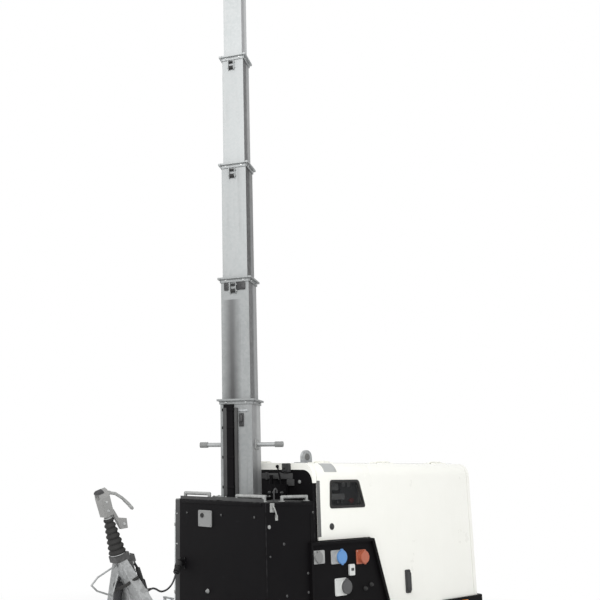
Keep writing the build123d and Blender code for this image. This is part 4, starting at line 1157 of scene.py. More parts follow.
    @fitting("duct_straps", BLACK_COAT, "black_housing", body="mast_1")
    def duct_straps(self, skin: Surface) -> None:
        """Clips across the cable duct, with a screw at each end.

        Args:
            skin: The surface that the shapes go to.
        """
        half = self.sizes[0] / 2
        for z in (1.6, 1.83, 2.06, 2.2):
            skin.pad(self.spot(self.duct_face, self.duct_y, z), 0.084, 0.022, 0.0022, 0.002, 0.0008)
            for side, _ in SIDES:
                skin.pad(self.spot(half, self.duct_y + side * 0.0435, z), 0.0022, 0.022, 0.036, 0.0008, 0.0005)
                foot = self.spot(half, self.duct_y + side * 0.052, z)
                skin.pad(foot, 0.018, 0.022, 0.0022, 0.002, 0.0006)
                skin.screw(foot.at(side * 0.001, 0.0, 0.0022), 0.0042)

    @fitting("duct_hose", DUST_AND_SHEEN_BLACK, "black_plastic", body="mast_1")
    def duct_hose(self, skin: Surface) -> None:
        """The duct's lighter edge on its near side, and the hose that runs up beside it.

        Args:
            skin: The surface that the shapes go to.
        """
        low, high = 1.535, 2.215
        skin.pad(self.spot(self.duct_face, self.duct_y - 0.027, (low + high) / 2), 0.03, high - low, 0.0024, 0.003,
                 0.001)
        hose = [(self.sizes[0] / 2 + 0.0155, self.duct_y + 0.06, z) for z in np.linspace(low, high, 9)]
        skin.sweep(hose, 0.015, 16, self.place)

    @fitting("cable_clamp", CAST_BLACK, "coupling_cast", body="mast_1")
    def cable_clamp(self, skin: Surface) -> None:
        """The dark clamp beside the duct's top, with its block and two bolts.

        Args:
            skin: The surface that the shapes go to.
        """
        spot = self.spot(self.sizes[0] / 2, 0.045, 2.12)
        skin.pad(spot, 0.04, 0.104, 0.008, 0.006, 0.002)
        skin.pad(spot.at(0.0, 0.012, 0.008), 0.026, 0.05, 0.022, 0.005, 0.002)
        skin.bolts((spot.at(0.0, off, 0.008) for off in (-0.04, 0.044)), 0.011, 0.006)

    @fitting("clamp_plate", GALVANISED, "galvanised_steel", body="mast_1")
    def top_plate(self, skin: Surface) -> None:
        """The pale plate above the clamp, held by two bolts.

        Args:
            skin: The surface that the shapes go to.
        """
        spot = self.spot(self.sizes[0] / 2, 0.056, 2.192)
        skin.pad(spot, 0.08, 0.016, 0.006, 0.003, 0.001)
        skin.bolts((spot.at(off, 0.0, 0.006) for off in (-0.028, 0.028)), 0.009, 0.005)

    @fitting("bracket_rest", CAST_BLACK, "coupling_cast", body="mast_2")
    def rest_block(self, skin: Surface) -> None:
        """The olive-grey rest and its dark clip on the second tube's bracket.

        Args:
            skin: The surface that the shapes go to.
        """
        face, z = self.guide(1)
        for y, wide in ((-0.072, 0.036), (0.052, 0.076)):
            spot = self.spot(face, y, z - 0.036)
            skin.pad(spot, wide, 0.06, 0.012, 0.006, 0.002)
            skin.bolt(spot.at(0.0, 0.01, 0.012), 0.011, 0.006)

    def build(self, frame: dict) -> None:
        """Dresses the seven tubes and adds every fitting.
        """
        for index in range(len(self.sizes)):
            dress(frame, f"mast_section_{index + 1}", self.finish(index))
            body = f"mast_{index + 1}"
            Piece(f"collar_bolts_{index + 1}", body, ZINC, "galvanised_steel").make(self.bolts(index))
            if 1 <= index <= 5:
                Piece(f"mast_sheave_{index + 1}", body, BLACK_PLASTIC, "black_plastic").make(self.sheave(index))
                Piece(f"sheave_bolts_{index + 1}", body, ZINC, "galvanised_steel").make(self.cheek_bolts(index))
        self.fit()


@dataclass
class Floodlights:
    """Four floodlights: bezel, reflector tray, LED domes, glass, knobs and glands."""

    mast: Place
    width: float = 0.29
    height: float = 0.25
    depth: float = 0.07
    pitch: float = 0.312
    pivot_z: float = 8.54
    bar_z: float = 8.315
    rim: float = 0.016
    columns: int = 7
    rows: int = 6

    def lamp(self, index: int, x: float, z: float = 0.0, direction: str = "+x") -> Place:
        """A place on one tilted lamp, whose own +X points out of its glass."""
        lamp = self.mast.at(0.0, self.pitch * (index - 1.5), self.pivot_z).pitched(LAMP_TILT)
        return lamp.at(x, 0.0, z).facing(direction)

    def bezel(self) -> Surface:
        """A rounded frame round the glass, on the lamp's front edge, with a screw at each corner.

        Returns:
            The finished surface.
        """
        w, h, r = self.width, self.height, self.rim
        rows = ((0.0, -0.003), (0.0, 0.0012), (0.0012, 0.0026), (r - 0.002, 0.0026), (r + 0.001, 0.001),
                (r + 0.001, -0.003))
        ring = np.stack([lift(rounded_rect(w + 0.002 - 2 * i, h + 0.002 - 2 * i, 0.019 - i * 0.6, 5), z)
                         for i, z in rows])
        surface = Surface().grid(ring, caps=False, loop=True)
        return surface.screws((Place((x, y, 0.0026)) for x, y in crossed(w / 2 - 0.009, h / 2 - 0.009)), 0.0034)

    def domes(self) -> Surface:
        """Small lenses in rows, each a half sphere of a few rings.

        Returns:
            The finished surface.
        """
        a = np.linspace(0.0, TAU / 4 * 0.92, 4)
        dome = revolved(zip(0.0105 * np.cos(a), 0.0012 + 0.0052 * np.sin(a)), 12)
        x, y = ((np.arange(count) - (count - 1) / 2) * 0.034 for count in (self.columns, self.rows))
        grid = np.stack(np.meshgrid(x, y), -1).reshape(-1, 2)
        surface = Surface()
        for centre in lift(grid, 0.0):
            surface.grid(dome + centre)
        return surface

    def knobs(self, index: int) -> Surface:
        """A gland on the lamp's back and a small driver box over its fins.

        Args:
            index: Which lamp, from 0.

        Returns:
            The finished surface.
        """
        surface = Surface().pad(self.lamp(index, -self.depth / 2 + 0.01, 0.03, "-x").at(0, 0, -0.006), 0.11, 0.07,
                                0.016, 0.008, 0.003)
        return surface.turn(self.lamp(index, -self.depth / 2 + 0.012, -0.005, "-z"),
                            ((0.009, 0.0), (0.009, 0.012), (0.006, 0.018)), 16)

    def bar_fittings(self) -> Surface:
        """The junction box on the head bar, and a clip on the bar beside each fork.

        Returns:
            The finished surface.
        """
        spot = self.mast.at(-0.03, 0.0, self.bar_z + 0.03).facing("-x")
        surface = Surface().pad(spot, 0.17, 0.054, 0.034, 0.006, 0.003)
        surface.screws((spot.at(x, y, 0.034) for x, y in crossed(0.07, 0.018)), 0.004)
        for y in self.pitch * (np.arange(4) - 1.5):
            for side in (-0.09, 0.09):
                clip = self.mast.at(-0.03, float(y) + side, self.bar_z + 0.03).facing("-x")
                surface.pad(clip, 0.012, 0.05, 0.004, 0.002, 0.001)
        return surface

    def build(self) -> None:
        """Adds the pieces of every lamp, worked out once and put at each."""
        w, h = self.width - 2 * self.rim, self.height - 2 * self.rim
        tray = ((0.0, 0.0001), (0.0, 0.0068), (0.006, 0.0068), (0.014, 0.0012))
        for index in range(4):
            front, edge = self.lamp(index, self.depth / 2 - 0.008), self.lamp(index, self.depth / 2)
            glass = Surface().pad(front.at(0, 0, 0.0068), w - 0.002, h - 0.002, 0.0016, 0.006, 0.0004)
            for name, finish, slot, surface in (
                    ("reflector", REFLECTOR, "lamp_body", Surface().steps(front, w, h, 0.006, tray)),
                    ("leds", LED_LENS, "lamp_body", self.domes().moved(front)),
                    ("bezel", LAMP_BLACK, "lamp_body", self.bezel().moved(edge)),
                    ("glass", LAMP_GLASS, "lamp_body", glass),
                    ("knobs", BLACK_PLASTIC, "black_plastic", self.knobs(index))):
                Piece(f"floodlight_{index + 1}_{name}", f"lamp_{index + 1}", finish, slot).make(surface)
        Piece("lamp_bar_fittings", "mast_7", BLACK_PLASTIC, "black_plastic").make(self.bar_fittings())


@dataclass
class Housing(Assembly):
    """Fittings on the black housing round the mast's foot."""

    front: float
    half: float = 0.52
    top: float = 1.5
    mast_back: float = 0.233
    length: float = 0.505
    ring_in: float = 0.2075
    ring_out: float = 0.2335
    ring_z: float = 1.524
    tube_back: float = 0.036
    # back along the left side, height, size across
    side_screws: tuple[Vector, ...] = (
        (0.492, 1.417, 0.02), (0.179, 1.201, 0.022), (0.197, 0.839, 0.02), (0.42, 0.98, 0.02),
        (0.42, 0.845, 0.02), (0.04, 0.64, 0.016), (0.04, 1.12, 0.016))
    # across the front, height
    front_screws: tuple[tuple[float, float], ...] = (
        (-0.407, 1.392), (0.021, 1.391), (-0.407, 0.64), (0.4, 0.64), (0.4, 1.391))

    def ahead(self, y: float, z: float, out: float = 0.0) -> Place:
        """A place on the front face, facing forwards."""
        return self.on(-out, y, z, "+x")

    @fitting("front_cover", COVER_GREY, "control_grey")
    def cover(self, skin: Surface) -> None:
        """The pale cover plate on the front face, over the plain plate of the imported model."""
        rows = ((0.0, 0.0), (0.0, 0.0072), (0.001, 0.0084), (0.01, 0.0086), (0.013, 0.007), (0.02, 0.007))
        skin.steps(self.ahead(-0.17, 1.357), 0.164, 0.126, 0.009, rows)

    @fitting("front_cover_lock", BLACK_PLASTIC, "black_plastic")
    def cover_lock(self, skin: Surface) -> None:
        """The round lock on the cover, a dished disc with a slot's rim, and its three screws.

        Args:
            skin: The surface that the shapes go to.
        """
        spot = self.ahead(-0.2, 1.38, 0.0066)
        skin.turn(spot, ((0.0175, 0.0), (0.0175, 0.0085), (0.016, 0.0105), (0.011, 0.0108), (0.0095, 0.0085),
                         (0.0001, 0.0085)), 28)
        skin.pad(spot.at(0, 0, 0.0085), 0.0025, 0.013, 0.0012, 0.0008, 0.0003)
        skin.screws((self.ahead(x, y, 0.007) for x, y in ((-0.1, 1.306), (-0.24, 1.306), (-0.1, 1.408))), 0.0042)

    @fitting("housing_screws", SCREW_GREY, "galvanised_steel")
    def screws(self, skin: Surface) -> None:
        """Capped screws over the left side, their twins on the right, and those over the front.

        Args:
            skin: The surface that the shapes go to.
        """
        for back, z, across in self.side_screws:
            for side, _ in SIDES:
                skin.screw(self.flank(side, back, z), across / 2)
        skin.screws((self.ahead(y, z) for y, z in self.front_screws), 0.009)

    @fitting("front_boss", GRIP_GREY, "galvanised_steel")
    def boss(self, skin: Surface) -> None:
        """The small grey boss low on the front face."""
        boss = ((0.017, 0.0), (0.017, 0.004), (0.012, 0.01), (0.009, 0.018), (0.004, 0.02))
        skin.turn(self.ahead(-0.143, 0.816), boss, 24)

    @fitting("bearing_cover", RING_GREY, "galvanised_steel")
    def ring(self, skin: Surface) -> None:
        """The flat galvanised cover on the bearing ring: a closed ring with bevelled edges.

        Args:
            skin: The surface that the shapes go to.
        """
        a, b = self.ring_in, self.ring_out
        section = ((b, -0.02), (b, 0.0022), (b - 0.001, 0.003), (a + 0.001, 0.003), (a, 0.0022), (a, -0.003))
        skin.hoop(self.on(self.mast_back, 0.0, self.ring_z), section, 72)

    @fitting("bearing_bolts", DULL_ZINC, "galvanised_steel")
    def ring_bolts(self, skin: Surface) -> None:
        """Twelve bolts round the bearing ring's cover.

        Args:
            skin: The surface that the shapes go to.
        """
        angle = (np.arange(12) + 0.5) * TAU / 12
        middle = self.on(self.mast_back, 0.0, self.ring_z + 0.003)
        skin.bolts((middle.at(0.2205 * math.cos(a), 0.2205 * math.sin(a), 0.0) for a in angle), 0.011, 0.006)

    @fitting("housing_folds", HOUSING_BLACK, "black_housing")
    def folds(self, skin: Surface) -> None:
        """The folded lips round the top of the front and the sides, and the seams down the corners.

        Args:
            skin: The surface that the shapes go to.
        """
        skin.pad(self.ahead(0.0, self.top - 0.018), 0.96, 0.026, 0.0022, 0.003, 0.001)
        for side, _ in SIDES:
            skin.pad(self.flank(side, self.length / 2, self.top - 0.018), self.length - 0.05, 0.026, 0.0022, 0.003,
                     0.001)
        for side, _ in SIDES:
            skin.pad(self.flank(side, 0.468, 1.0), 0.02, 0.82, 0.0018, 0.002, 0.0008)

    @fitting("housing_top_sheet", DUST_AND_SHEEN_BLACK, "black_housing")
    def top_plate(self, skin: Surface) -> None:
        """The top sheets round the mast with their lip, pale with painted sheen and dust, and the channel over the
        right front corner's post.

        Args:
            skin: The surface that the shapes go to.
        """
        # The lip and the top sheets: a paler black that paints the top faces' sheen, together with dust.
        skin.pad(self.on(0.0045, 0.0, self.top), 0.005, 0.996, 0.024, 0.002, 0.0008)
        for side, _ in SIDES:
            skin.pad(self.on(self.length / 2, side * 0.345, self.top), 0.48, 0.306, 0.0015, 0.004, 0.0006)
            skin.pad(self.on(self.length / 2 - side * 0.216, 0.0, self.top), 0.048, 0.38, 0.0015, 0.004, 0.0006)
        skin.pad(self.ahead(-0.533, 1.052, -0.0055), 0.066, 0.88, 0.003, 0.002, 0.0008)

    @fitting("side_tube", PALE_TUBE, "galvanised_steel")
    def side_tube(self, skin: Surface) -> None:
        """The pale round tube beside the right front corner, closed with a dished cap.

        Args:
            skin: The surface that the shapes go to.
        """
        skin.turn(self.on(self.tube_back, -self.half - 0.0675, 0.0),
                  ((0.018, 0.61), (0.0212, 0.612), (0.0212, 1.404), (0.02, 1.408), (0.015, 1.41),
                   (0.012, 1.407)))

    @fitting("tube_clamps", DULL_ZINC, "galvanised_steel")
    def tube_clamps(self, skin: Surface) -> None:
        """Two saddle clamps that hold the tube to the corner's post, with their bolts.

        Args:
            skin: The surface that the shapes go to.
        """
        for z in (0.76, 1.29):
            skin.turn(self.on(self.tube_back, -self.half - 0.0675, z - 0.013),
                      ((0.0215, 0.0), (0.024, 0.001), (0.024, 0.025), (0.0215, 0.026)))
            skin.pad(self.flank(-1, self.tube_back, z, 0.0462), 0.07, 0.026, 0.003, 0.002, 0.0008)
            skin.bolts((self.flank(-1, self.tube_back - x, z, 0.0492) for x in (-0.0285, 0.0285)), 0.01, 0.005)

    @fitting("side_catch", DULL_ZINC, "galvanised_steel")
    def catch(self, skin: Surface) -> None:
        """The pale over-centre catch on the left side: hook plate, slanting draw bar and lever.

        Args:
            skin: The surface that the shapes go to.
        """
        skin.pad(self.flank(1, 0.066, 1.462), 0.044, 0.066, 0.004, 0.005, 0.0015)
        bar = arc_path(((0.066, 1.48, 0.006), (0.078, 1.455, 0.013), (0.092, 1.425, 0.013), (0.105, 1.398, 0.006)))
        skin.sweep(np.stack([self.front - bar[:, 0], self.half + bar[:, 2], bar[:, 1]], -1), 0.0062, 10)
        skin.pad(self.flank(1, 0.108, 1.39), 0.026, 0.04, 0.004, 0.005, 0.001)
        skin.turn(self.flank(1, 0.033, 1.327), ((0.014, 0.0), (0.014, 0.004), (0.01, 0.006)), 20)

    @fitting("lashing_hook", CAST_BLACK, "coupling_cast")
    def hook(self, skin: Surface) -> None:
        """The dark lashing hook that stands on the housing's top edge above the catch.

        Args:
            skin: The surface that the shapes go to.
        """
        x, y = self.front - 0.1, self.half - 0.012
        line = ((0.0, -0.001), (0.0, 0.06), (-0.004, 0.086), (-0.016, 0.096), (-0.028, 0.086), (-0.03, 0.066))
        skin.sweep(arc_path([(x + dx, y, self.top + dz) for dx, dz in line]), 0.0062)
        skin.pad(Place((x - 0.004, y, self.top)), 0.036, 0.024, 0.003, 0.004, 0.001)

    @fitting("rail_feet", RAIL_GREY, "galvanised_steel")
    def rail_feet(self, skin: Surface) -> None:
        """Round foot plates under the grab rails' posts.

        Args:
            skin: The surface that the shapes go to.
        """
        corner, edge = self.half - 0.048, self.half - 0.035
        for back, y in ((0.034, -corner), (0.034, -corner + 0.31), (0.034, corner - 0.3), (0.034, corner),
                        (0.2, edge), (0.46, edge)):
            skin.turn(self.on(back, y, self.top + 0.0012),
                      ((0.024, 0.0), (0.024, 0.0035), (0.0225, 0.005), (0.0135, 0.005)), 28)

    @fitting("post_bolts", ZINC, "galvanised_steel")
    def post_bolts(self, skin: Surface) -> None:
        """Bolts up the galvanised post on the right front corner."""
        skin.screws((self.on(0.0026, -self.half - 0.023, z, "+x") for z in (0.66, 0.9, 1.14, 1.38)), 0.0065)

    @fitting("valve_unions", SCREW_GREY, "galvanised_steel")
    def valve_unions(self, skin: Surface) -> None:
        """Hose unions and the lever's boss on the valve block behind the mast.

        Args:
            skin: The surface that the shapes go to.
        """
        for y in (0.075, 0.125, 0.215):
            spot = self.on(0.474, y, self.top + 0.055, "+x")
            skin.hexagon(spot, 0.022, ((1, 0.0), (1, 0.01), (0.9, 0.012)))
            skin.turn(spot, ((0.0075, 0.012), (0.0075, 0.02), (0.0045, 0.023)), 16)


@dataclass
class Canopy(Assembly):
    """Fittings on the white canopy and its doors."""

    front: float
    half: float = 0.5
    top: float = 1.785
    wall_back: float = 0.52
    window: tuple[tuple[float, float], ...] = ((0.722, 1.645), (1.04, 1.645), (1.112, 1.447), (0.711, 1.447))
    vent_back: tuple[float, float] = (1.8, 2.28)
    hinge_backs: tuple[float, ...] = (0.79, 1.55, 2.3)

    def on_wall(self, y: float, z: float, out: float = 0.0) -> Place:
        """A place on the black front wall, facing forwards."""
        return self.on(self.wall_back - out, y, z, "+x")

    @fitting("latch_left", DUST_AND_SHEEN_BLACK, "black_plastic", 1, body="door_left")
    @fitting("latch_right", DUST_AND_SHEEN_BLACK, "black_plastic", -1, body="door_right")
    def latch(self, skin: Surface, side: int) -> None:
        """The black paddle latch of one door: dished tray, paddle with a finger scoop and a key barrel.

        Args:
            skin: The surface that the shapes go to.
            side: Which side, as a sign.
        """
        place = self.flank(side, 1.61, 0.828)
        tray = ((0.0, 0.0), (0.0, 0.0086), (0.002, 0.01), (0.008, 0.01))
        paddle = ((0.0, 0.009), (0.0, 0.023), (0.0025, 0.0255), (0.009, 0.0262), (0.014, 0.0245), (0.018, 0.0245))
        barrel = ((0.0085, 0.024), (0.0085, 0.0285), (0.007, 0.0295), (0.003, 0.029))
        skin.steps(place, 0.064, 0.184, 0.012, tray)
        skin.steps(place, 0.043, 0.147, 0.007, paddle)
        skin.turn(place.at(0.0, -0.052, 0.0), barrel, 20)

    @fitting("door_lock", DUST_AND_SHEEN_BLACK, "coupling_cast", body="door_left")
    def lock(self, skin: Surface) -> None:
        """The round quarter-turn lock below the window.

        Args:
            skin: The surface that the shapes go to.
        """
        spot = self.flank(1, 0.717, 1.302)
        skin.turn(spot, ((0.025, 0.0), (0.025, 0.003), (0.0225, 0.005), (0.019, 0.0052), (0.0165, 0.003),
                         (0.012, 0.003), (0.0115, 0.0075), (0.01, 0.009), (0.001, 0.009)))
        skin.pad(spot.at(0, 0, 0.0088), 0.0035, 0.015, 0.0012, 0.001, 0.0004)

    def outline(self, grow: float, radius: float = 0.028, steps: int = 6) -> Array:
        """The window's outline as (back, height) points with round corners, grown outwards.

        Each corner is cut at one radius along both sides, and joined by the quadratic curve between the cuts whose
        middle point is the corner itself.

        Args:
            grow: How far outside the pane's edge.
            radius: Of the outline's corners.
            steps: Points to a corner.

        Returns:
            The points, one to a row.
        """
        p = np.array(self.window, float)
        p = p + np.sign(p - p.mean(0)) * grow
        before, after = np.roll(p, 1, 0) - p, np.roll(p, -1, 0) - p
        before /= np.linalg.norm(before, axis=1, keepdims=True)
        after /= np.linalg.norm(after, axis=1, keepdims=True)
        t = np.linspace(0, 1, steps + 1)[None, :, None]
        a, b, c = (p + before * radius)[:, None], p[:, None], (p + after * radius)[:, None]
        return ((1 - t)**2 * a + 2 * t * (1 - t) * b + t**2 * c).reshape(-1, 2)

    @fitting("window_gasket", RUBBER, "window", body="door_left")
    def gasket(self, skin: Surface) -> None:
        """The window's rubber frame: a closed loop whose section laps over the door's edge and turns in.

        Args:
            skin: The surface that the shapes go to.
        """
        points = []
        for grow, y in ((0.01, 0.5), (0.01, 0.5035), (0.006, 0.5052), (-0.006, 0.505), (-0.011, 0.502),
                        (-0.011, 0.493), (-0.002, 0.493), (-0.002, 0.5)):
            edge = self.outline(grow)
            points.append(np.stack([self.front - edge[:, 0], np.full(len(edge), y), edge[:, 1]], -1))
        skin.grid(np.stack(points)[:, ::-1], caps=False, loop=True)

    @fitting("wall_bar", DUST_AND_SHEEN_BLACK, "control_grey")
    def wall_bar(self, skin: Surface) -> None:
        """The dark bar across the black front wall with its two clips, and the plate below its left end.

        Args:
            skin: The surface that the shapes go to.
        """
        skin.pad(self.on_wall(0.115, 1.683), 0.35, 0.046, 0.012, 0.006, 0.002)
        for y in (0.0, 0.15):
            skin.pad(self.on_wall(y, 1.683), 0.022, 0.06, 0.016, 0.004, 0.0015)
            skin.screw(self.on_wall(y, 1.683, 0.016), 0.005)
        skin.pad(self.on_wall(0.266, 1.634), 0.078, 0.052, 0.01, 0.006, 0.002)

    @fitting("wall_latch", DARK_CAST, "coupling_cast")
    def wall_latch(self, skin: Surface) -> None:
        """The black latch body above the bar, with its rounded nose and lever.

        Args:
            skin: The surface that the shapes go to.
        """
        skin.pad(self.on_wall(0.23, 1.747), 0.076, 0.072, 0.026, 0.01, 0.004)
        skin.pad(self.on_wall(0.23, 1.747, 0.024), 0.044, 0.05, 0.012, 0.008, 0.003)
        skin.turn(self.on_wall(0.23, 1.752, 0.036), ((0.011, 0.0), (0.011, 0.01), (0.007, 0.013), (0.001, 0.014)),
                  20)

    @fitting("wall_stud", GRIP_GREY, "control_grey")
    def wall_stud(self, skin: Surface) -> None:
        """The grey stud near the canopy's edge."""
        skin.turn(self.on_wall(0.363, 1.64), ((0.014, 0.0), (0.014, 0.005), (0.01, 0.008), (0.001, 0.009)), 20)

    @fitting("shoulder_plate", PANEL_PALE, "control_grey", body="door_left")
    def shoulder_plate(self, skin: Surface) -> None:
        """The grey plate that follows the left door's shoulder.

        Its section is an arc 3 mm outside the shoulder's own, swept along x, and turned in at its ends.

        Args:
            skin: The surface that the shapes go to.
        """
        bend, inner = 0.1, 0.099
        a = np.radians(np.concatenate([[18.0], np.linspace(18.0, 70.0, 12), [70.0]]))
        r = bend + np.concatenate([[-0.001], np.full(12, 0.0032), [-0.001]])
        x = self.front - np.array([0.8, 0.799, 0.797, 0.66, 0.658, 0.657])
        swell = np.array([0.0, 0.7, 1.0, 1.0, 0.7, 0.0])
        radius = inner + (r[None, :] - inner) * swell[:, None]
        skin.grid(np.stack([np.repeat(x[:, None], len(a), 1), self.half - bend + radius * np.cos(a),
                            self.top - bend + radius * np.sin(a)], -1))

    @fitting("shell_edge_trim", TRIM_GREY, "control_grey")
    def edge_trim(self, skin: Surface) -> None:
        """The grey edge trim down the shell's front left edge, from the shoulder to the socket panel."""
        skin.pad(self.flank(1, 0.579, 1.44), 0.036, 0.42, 0.0018, 0.002, 0.0008)

    @fitting("eye_bush", TRIM_GREY, "black_plastic")
    def eye_bush(self, skin: Surface) -> None:
        """The dark bush and pin in the lifting eye."""
        skin.turn(self.on(0.972, -0.012, self.top + 0.053, "+y"),
                  ((0.012, 0.0), (0.0292, 0.0005), (0.0292, 0.0235), (0.012, 0.024), (0.0105, 0.0215)), 28)

    @fitting("roof_seals", RUBBER, "bellows_rubber")
    def seals(self, skin: Surface) -> None:
        """Rubber strips in the roof's seams, between the doors and the fixed middle."""
        for side, _ in SIDES:
            skin.pad(self.on(1.5705, side * 0.34, self.top - 0.0045), 1.96, 0.0044, 0.006, 0.001, 0.0008)

    @fitting("hinge_bolts_roof", ZINC, "galvanised_steel", 0.298, (1, -1))
    @fitting("hinge_bolts_left", ZINC, "galvanised_steel", 0.378, (1,), body="door_left")
    @fitting("hinge_bolts_right", ZINC, "galvanised_steel", 0.378, (-1,), body="door_right")
    def hinge_bolts(self, skin: Surface, out: float, sides: tuple[int, ...]) -> None:
        """Dome-headed bolts on the halves of the roof hinges: the fixed ones, or those of one door."""
        skin.screws((self.on(back - x, side * out, self.top + 0.006) for back in self.hinge_backs for side in sides
                     for x in (-0.055, 0.0, 0.055)), 0.006)

    @fitting("door_louvres", WHITE_SHELL, "white_canopy", body="door_right")
    def louvres(self, skin: Surface) -> None:
        """Raised hoods over the slots in the right door, each a quarter-round swept along the slot.

        Args:
            skin: The surface that the shapes go to.
        """
        low, high = self.front - self.vent_back[1], self.front - self.vent_back[0]
        a = np.linspace(0.0, TAU / 4, 6)
        out = np.concatenate([[0.0], 0.022 * np.sin(a), [0.0]])
        up = np.concatenate([[-0.002], 0.03 * np.cos(a) - 0.002, [-0.008]])
        along = np.linspace(low, high, 13)
        fade = np.clip(np.minimum(along - low, high - along) / 0.03, 0.0, 1.0)**0.5
        x = np.repeat(along[:, None], len(out), 1)
        y = -self.half - out[None, :] * np.maximum(fade, 0.02)[:, None]
        for z in 0.836 + 0.07 * np.arange(7):
            skin.grid(np.stack([x, y, z + np.repeat(up[None, :], len(along), 0)], -1))


class LidStyle(Enum):
    """The kinds of lid on the socket panel."""

    FLAT = "flat round lid"
    HOODED = "deep hinged lid"
    INLET = "flanged inlet cap"


@dataclass(frozen=True)
class SocketPlace:
    """One socket: its middle, its flange, its lid and the two colours it is moulded in."""

    name: str
    back: float
    z: float
    flange: float
    wide: float
    lid: float
    depth: float
    lid_back: float
    style: LidStyle
    flange_finish: Finish
    lid_finish: Finish


@dataclass
class SocketPanel(Assembly):
    """The coloured sockets, the breaker's cover and two dark knobs on the black panel."""

    front: float
    half: float = 0.524
    sockets: tuple[SocketPlace, ...] = (
        SocketPlace("mains", 0.517, 1.088, 0.098, 0.154, 0.039, 0.03, 0.0, LidStyle.FLAT, MAINS_GREY, COVER_GREY),
        SocketPlace("blue", 0.738, 1.077, 0.102, 0.14, 0.051, 0.042, 0.021, LidStyle.HOODED, MAINS_GREY,
                    BLUE_PLASTIC),
        SocketPlace("red", 1.01, 1.062, 0.108, 0.108, 0.047, 0.046, 0.006, LidStyle.HOODED, RED_PLASTIC,
                    RED_PLASTIC),
        SocketPlace("inlet", 0.765, 0.856, 0.128, 0.128, 0.052, 0.04, 0.04, LidStyle.INLET, PALE_PLASTIC,
                    INLET_GREY))

    def flange(self, one: SocketPlace, spot: Place) -> Surface:
        """A square flange with a stepped collar ring round the lid's seat.

        Args:
            one: The socket's own measures.
            spot: Where it stands on the panel.

        Returns:
            The finished surface.
        """
        rows = ((0.0, 0.0), (0.0, 0.006), (0.0015, 0.008), (0.012, 0.0082), (0.014, 0.0074), (0.03, 0.0074))
        shape = np.stack([lift(rounded_rect(one.wide - 2 * i, one.flange - 2 * i, max(0.009 - i, 0.003)), z)
                          for i, z in rows])
        r = one.lid - 0.004
        collar = ((r, 0.004), (r, one.depth - 0.018), (r - 0.002, one.depth - 0.016))
        return Surface().grid(shape, spot).turn(spot.at(one.lid_back, 0.0, 0.0), collar, 40)

    def lid(self, one: SocketPlace, spot: Place) -> Surface:
        """The lid: a shallow cap with a raised rim, ribs round its edge and its hinge above.

        Args:
            one: The socket's own measures.
            spot: Where it stands on the panel.

        Returns:
            The finished surface.
        """
        r, d = one.lid, one.depth
        base = d - (0.014 if one.style is LidStyle.FLAT else 0.02)
        crown = 0.0035 if one.style is LidStyle.INLET else 0.0015
        dish = d - 0.0012
        surface = Surface().turn(spot.at(one.lid_back, 0.0, 0.0),
                                 ((r - 0.003, base), (r, base + 0.002), (r, d - 0.004), (r - 0.003, d - 0.001),
                                  (r - 0.007, d), (r - 0.009, dish), (r * 0.5, dish + crown * 0.5),
                                  (r * 0.16, dish + crown), (0.0006, dish + crown)), 48)
        count = 24 if one.style is LidStyle.HOODED else 16
        x, y, z = (np.array(v, float) for v in spot.axes)
        rib = pad(0.003, d - base - 0.004, 0.0018, 0.001, 0.0006, 2)
        for a in np.arange(count) * TAU / count:
            c, s = math.cos(a), math.sin(a)
            at = spot.at(one.lid_back + (r - 0.0008) * c, (r - 0.0008) * s, (base + d) / 2)
            surface.grid(rib, Place(at.origin, tuple(map(tuple, (y * c - x * s, z, x * c + y * s)))))
        hinge = spot.at(one.lid_back, r + 0.001, d - 0.012)
        surface.pad(hinge.at(0, 0, -0.004), 0.024, 0.016, 0.01, 0.004, 0.002)
        surface.turn(hinge.at(0, 0.004, 0.002).facing("+x"), mirrored(((0.0042, -0.013), (0.0048, -0.012))), 14)
        if one.style is not LidStyle.INLET:
            surface.pad(spot.at(one.lid_back, -r - 0.001, d - 0.01), 0.022, 0.012, 0.006, 0.003, 0.0015)
        return surface

    @fitting("socket_screws", ZINC, "galvanised_steel")
    def flange_screws(self, skin: Surface) -> None:
        """The four screws of every flange.

        Args:
            skin: The surface that the shapes go to.
        """
        for one in self.sockets:
            spot = self.flank(1, one.back, one.z)
            skin.screws((spot.at(x, y, 0.008) for x, y in crossed(one.wide / 2 - 0.009, one.flange / 2 - 0.009)),
                        0.0038)

    @fitting("breaker_cover", PALE_PLASTIC, "socket_plastic")
    def breaker(self, skin: Surface) -> None:
        """The breaker's hinged cover, with a raised window frame and its catch.

        Args:
            skin: The surface that the shapes go to.
        """
        spot = self.flank(1, 0.89, 0.973)
        rows = ((0.0, 0.0), (0.0, 0.016), (0.003, 0.0195), (0.008, 0.02), (0.01, 0.018), (0.024, 0.018))
        skin.steps(spot, 0.058, 0.084, 0.008, rows)
        skin.pad(spot.at(0.0, -0.037, 0.0185), 0.018, 0.006, 0.004, 0.002, 0.001)

    @fitting("breaker_levers", BLACK_PLASTIC, "black_plastic")
    def levers(self, skin: Surface) -> None:
        """Three breaker levers behind the cover's window, and the two dark knobs beside the red socket.

        Args:
            skin: The surface that the shapes go to.
        """
        for x in (-0.011, 0.0, 0.011):
            skin.pad(self.flank(1, 0.89, 0.973).at(x, 0.004, 0.0178), 0.007, 0.02, 0.0035, 0.0015, 0.001)
        for back, z in ((1.045, 0.822), (1.118, 0.846)):
            knob = ((0.017, 0.0), (0.017, 0.008), (0.014, 0.011), (0.012, 0.02), (0.009, 0.022), (0.001, 0.022))
            skin.turn(self.flank(1, back, z), knob, 24)

    def build(self) -> None:
        """Replaces the plain sockets by moulded and coloured ones."""
        for one in self.sockets:
            spot = self.flank(1, one.back, one.z)
            Piece(f"socket_{one.name}_flange", "trailer", one.flange_finish, "socket_plastic", ("sockets",)).make(
                self.flange(one, spot))
            Piece(f"socket_{one.name}_lid", "trailer", one.lid_finish, "socket_plastic").make(self.lid(one, spot))
        self.fit()


